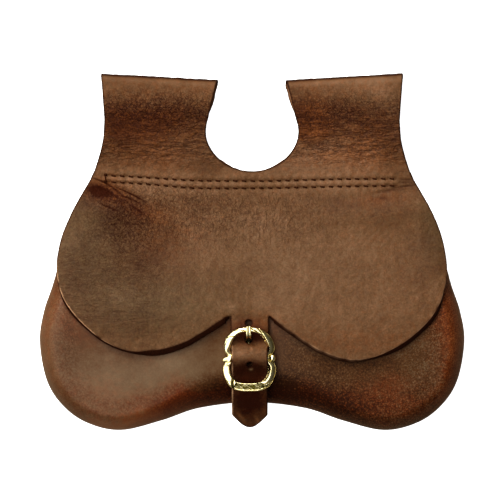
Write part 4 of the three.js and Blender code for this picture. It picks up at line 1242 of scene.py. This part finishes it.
def loop_points(direction, half, offset, crown, square, steps=420, sides=56):
    """One loop: a rod along a rounded arch from one end of the bar to the other. Its section is an oval,
    drawn out to a ridge on the right. Leaves and a sunk, roped panel are cut into its upper side. It
    returns the points, and where patina lies, with painted shade on the ridge's outer facet."""
    share = np.linspace(0, 1, steps + 1)
    angle = mix(-0.04, np.pi + 0.04, share)
    across = squared(np.cos(angle), square[0]) * half
    reach = squared(np.sin(angle), square[1]) * RIM["reach"]
    across = across - np.sign(across) * WAIST["pinch"] * hump(reach, WAIST["width"])
    across = across + offset * ease(0, RIM["risen"], reach)
    rise = RIM["rise"] * ease(0, RIM["risen"], reach)
    line = np.stack([across, direction * reach, rise], 1)
    at = np.linspace(0, length_along(line)[-1], steps + 1)
    line = points_at(line, at)
    reach = np.abs(line[:, 1])
    along = unit(np.gradient(line, axis=0))
    out = unit(np.cross(along, (0, 0, 1.0))) * direction
    up = unit(np.cross(out, along)) * direction
    full = mix(RIM_THICK["side"], crown, ease(RIM_THICK["crown"], RIM["reach"], reach))
    wide = mix(RIM_THICK["waist"], full, ease(0, RIM_THICK["full"], reach))[:, None]
    from_crown = (at[-1] / 2 - at)[:, None]
    w, h = section(sides, RIM["corner"])
    top = ease(0.05, 0.5, h)
    ridged = ease(2, 8, line[:, :1]) * ease(4, 9, np.abs(from_crown))
    relief = -RIDGE["right"] * ridged * top * np.abs(w + RIDGE["inside"])
    relief = relief - RIDGE["left"] * ease(-2, -8, line[:, :1]) * top * (w + 1)
    cut = 0
    for start, slant, depth, width in (UPPER_LEAVES if direction > 0 else LOWER_LEAVES):
        cut = cut - depth * hump(from_crown - start - slant * w * wide, width) * top
    if direction < 0:
        inside = ease(PANEL["half"] + 0.14, PANEL["half"] - 0.06, np.abs(w + 0.02)) * top
        inside = inside * band(from_crown, PANEL["from"] - 0.8, PANEL["from"], PANEL["to"], PANEL["to"] + 0.8)
        rope = np.cos(2 * np.pi * (from_crown - 1.5 * w * wide) / PANEL["pitch"])
        cut = cut - inside * (PANEL["depth"] - PANEL["ridge"] * ease(0.55, 1, rope))
    height = (RIM_THICK["height"] * h + relief + cut)[..., None]
    points = line[:, None] + out[:, None] * (w * wide)[..., None] + up[:, None] * height
    # Painted shade: the outer facet of the ridge on the loops' right side is darkened like patina.
    right_facet_shade = 0.6 * ridged * top * ease(0.05, 0.4, w)
    return points, np.maximum(ease(0.2, 0.5, -cut), right_facet_shade)


def turned_bud(side, profile, droop=0, square=1, sides=32):
    """A bud on the bar's axis, from a profile of radius and distance from the buckle's middle. It droops
    towards its end, and its section is squarer where square is small."""
    radius, along = spline(profile, np.linspace(0, 1, 40)).T
    w, h = section(sides, square)
    ring = np.stack([0 * w, w, h * side], 2)
    middle = np.stack([side * along, -droop * np.maximum(0, along - 9), 0 * along], 1)
    return ring * np.maximum(radius, 0.02)[:, None, None] + middle[:, None]


def facing_out(points, faces):
    """The same triangles, turned round if the closed form they make is inside out."""
    a, b, c = (points[faces[:, k]] for k in range(3))
    return faces if np.einsum("ij,ij->i", a, np.cross(b, c)).sum() > 0 else faces[:, ::-1]


def brass_finish():
    """Polished brass: warm and pale where it is rubbed, finely scratched, and dark olive in its hollows and
    where painted shade lies.
    """
    material, tree, shader, place = new_material("cast brass")
    specks = cloud(tree, place, 700.0, 4.0, 0.6)
    patina_and_shade = times(tree, mark_of(tree, "patina_and_shade"), between(tree, specks, 0.25, 0.6, 0.75, 1.0))
    polished = tint(tree, between(tree, specks, 0.35, 0.75), srgb(252, 238, 194), srgb(228, 208, 128))
    scratches = cloud(tree, stretched(tree, place, (2600.0, 500.0, 900.0)), 1.0, 3.0, 0.6)
    feed(tree, shader, {
        "Base Color": tint(tree, patina_and_shade, polished, srgb(62, 54, 2)),
        "Metallic": 1.0,
        "Roughness": plus(tree, between(tree, specks, 0.2, 0.8, 0.1, 0.24), times(tree, patina_and_shade, 0.3)),
        "Normal": bumped(tree, plus(tree, times(tree, specks, 0.8), scratches), 0.25, 0.1),
    })
    return material


# Each bud from its neck to its point: radius, and distance from the buckle's middle.
LEFT_BUD = [
    (0, 8.4), (2.0, 8.8), (2.4, 9.8), (2.3, 11.0), (1.9, 12.2), (1.4, 13.3), (0.8, 14.1), (0.02, 14.6),
]
RIGHT_BUD = [
    (0, 9.2), (1.0, 9.6), (0.95, 10.4), (1.7, 11.1), (2.1, 12.3), (1.8, 13.5), (1.0, 14.2), (0.02, 14.5),
]
bar = turned_bud(1, [(BAR["radius"], at) for at in (-BAR["half"], 0, BAR["half"])])
plain = (bar, turned_bud(-1, LEFT_BUD, 0.22, 0.7), turned_bud(1, RIGHT_BUD))
cast = [loop_points(**UPPER), loop_points(**LOWER), *[(part, np.zeros(part.shape[:2])) for part in plain]]
c, s = math.cos(TILT), math.sin(TILT)
turn_up = np.array([[1, 0, 0], [0, c, s], [0, -s, c]])
points, faces, hollows, count = [], [], [], 0
for part, patina_and_shade in cast:
    flat_part = part.reshape(-1, 3)
    faces.append(facing_out(flat_part, tube_faces(*part.shape[:2])) + count)
    points.append(flat_part @ turn_up + (BAR["x"], BAR["y"], BAR["z"]))
    hollows.append(patina_and_shade.ravel())
    count += len(flat_part)
points, faces, marks = np.concatenate(points), np.concatenate(faces), {"patina_and_shade": np.concatenate(hollows)}
brass = brass_finish()
add_piece("buckle_frame", points, faces, marks, brass, "buckle_frame")

# ---- The buckle's pin --------------------------------------------------------------------------------
# Cast brass with a groove along its upper side. Its eye is bent round the bar, and its shank comes up through
# the strap's hole and ends square, over the upper loop.
# The shank's width and thickness, the eye's outer and inner radius, and the groove's depth.
PIN = {"width": 2.9, "thick": 1.8, "eye": 3.0, "bore": 1.7, "slim_tip": 0.8, "groove": 0.55, "corner": 0.6}
# The shank seen from the side: from the eye, under the strap, up through its hole and over the loop.
PIN_LINE = [
    (-54.4, 26.7), (-51.5, 26.5), (-48.6, 25.8), (-46.7, 27.2), (-45.7, 31.2), (-44.7, 33.3), (-43.2, 34.0),
    (-41.4, 34.1), (-39.8, 33.8),
]


def pin_shank(steps=140, sides=40):
    """The shank: a rounded square section along the pin's side view, with a groove along its upper side."""
    path = spline(PIN_LINE, np.linspace(0, 1, steps + 1))
    along = unit(np.gradient(path, axis=0))
    share = np.linspace(0, 1, steps + 1)[:, None]
    slim = mix(1, PIN["slim_tip"], ease(0.6, 1, share)) * mix(0.55, 1, rounded((1 - share) / 0.02))
    w, h = section(sides, PIN["corner"])
    groove = PIN["groove"] * hump(w, 0.33) * ease(0.3, 0.9, h)
    x = PIN_X + w * slim * PIN["width"] / 2
    off = h * slim * PIN["thick"] / 2 - groove
    y = path[:, :1] - along[:, 1:] * off
    z = path[:, 1:] + along[:, :1] * off
    return np.stack([x + 0 * y, y, z], 2), ease(0.15, 0.5, groove) + 0 * x


def pin_eye(steps=72, sides=20):
    """The eye: a rounded flat ring round the bar."""
    turn = np.linspace(0, 2 * np.pi, steps, endpoint=False)[:, None]
    w, h = section(sides, PIN["corner"])
    radius = mix(PIN["bore"], PIN["eye"], (h + 1) / 2)
    x = PIN_X + w * PIN["width"] / 2 + 0 * turn
    return np.stack([x, BAR["y"] + radius * np.cos(turn), BAR["z"] + radius * np.sin(turn)], 2)


shank, patina_and_shade = pin_shank()
eye = pin_eye()
shank_points, eye_points = shank.reshape(-1, 3), eye.reshape(-1, 3)
shank_faces = facing_out(shank_points - shank_points.mean(0), tube_faces(*shank.shape[:2]))
eye_index = np.arange(len(eye_points)).reshape(eye.shape[:2])
eye_faces = grid_faces(np.vstack([eye_index, eye_index[:1]]), around=True)
eye_faces = facing_out(eye_points - eye_points.mean(0), eye_faces) + len(shank_points)
marks = {"patina_and_shade": np.concatenate([patina_and_shade.ravel(), np.zeros(len(eye_points))])}
points, faces = np.concatenate([shank_points, eye_points]), np.concatenate([shank_faces, eye_faces])
add_piece("buckle_pin", points, faces, marks, brass, "buckle_pin")

# ---- The table, the lights and the camera ------------------------------------------------------------
# A plain white table under soft light: two strong lamps beyond the belt loops, and weaker ones above, at the
# left and before the pouch. The camera looks straight down.
scene = bpy.context.scene
scene.view_settings.view_transform = "Standard"
scene.view_settings.look = "Medium High Contrast"
table = bpy.data.meshes.new("table")
table.from_pydata([(-3, -3, 0), (3, -3, 0), (3, 3, 0), (-3, 3, 0)], [], [(0, 1, 2, 3)])
floor = bpy.data.objects.new("table", table)
scene.collection.objects.link(floor)
floor.location.z = -0.05 * MM
white, tree, shader, _ = new_material("white table")
# The table shines through from below: it adds light of its own to what the eye sees, and throws little light
# up onto the leather.
rays = step_node(tree, "ShaderNodeLightPath", {}, {}).outputs
table_white = tint(tree, rays["Is Diffuse Ray"], (0.93, 0.93, 0.93, 1), (0.6, 0.6, 0.6, 1))
feed(tree, shader, {
    "Base Color": tint(tree, rays["Is Glossy Ray"], table_white, (0.3, 0.27, 0.18, 1)),
    "Roughness": 0.9,
    "Emission Color": (1, 1, 1, 1),
    "Emission Strength": times(tree, rays["Is Camera Ray"], 0.8),
})
floor.data.materials.append(white)

world = bpy.data.worlds.new("room")
scene.world = world
world.use_nodes = True
background = world.node_tree.nodes["Background"].inputs
feed(world.node_tree, background, {"Color": (1, 1, 1, 1), "Strength": 0.12})


def lamp(name, place, size, watts):
    """A square lamp that faces the pouch."""
    light = bpy.data.lights.new(name, "AREA")
    light.shape = "SQUARE"
    light.size = size
    light.energy = watts
    made = bpy.data.objects.new(name, light)
    scene.collection.objects.link(made)
    made.location = place
    made.rotation_euler = (-made.location).to_track_quat("-Z", "Y").to_euler()
    made.visible_camera = False


lamp("lamp above", (-0.45, 0.1, 2.0), 1.5, 22)
lamp("lamp before", (-0.7, -1.2, 1.7), 1.0, 9)
lamp("lamp beyond", (-0.5, 2.0, 1.4), 2.6, 48)
lamp("small lamp beyond", (-0.7, 1.9, 1.4), 0.7, 36)
lamp("lamp left", (-2.0, 0.2, 1.4), 2.0, 26)

VIEW = {"width": 0.267, "x": -0.00107, "y": 0.0008}
camera = bpy.data.cameras.new("camera")
camera.lens = 800
camera.sensor_width = 36
distance = VIEW["width"] * camera.lens / camera.sensor_width
camera.clip_end = 3 * distance
eye_point = bpy.data.objects.new("camera", camera)
scene.collection.objects.link(eye_point)
eye_point.location = (VIEW["x"], VIEW["y"], distance)
scene.camera = eye_point
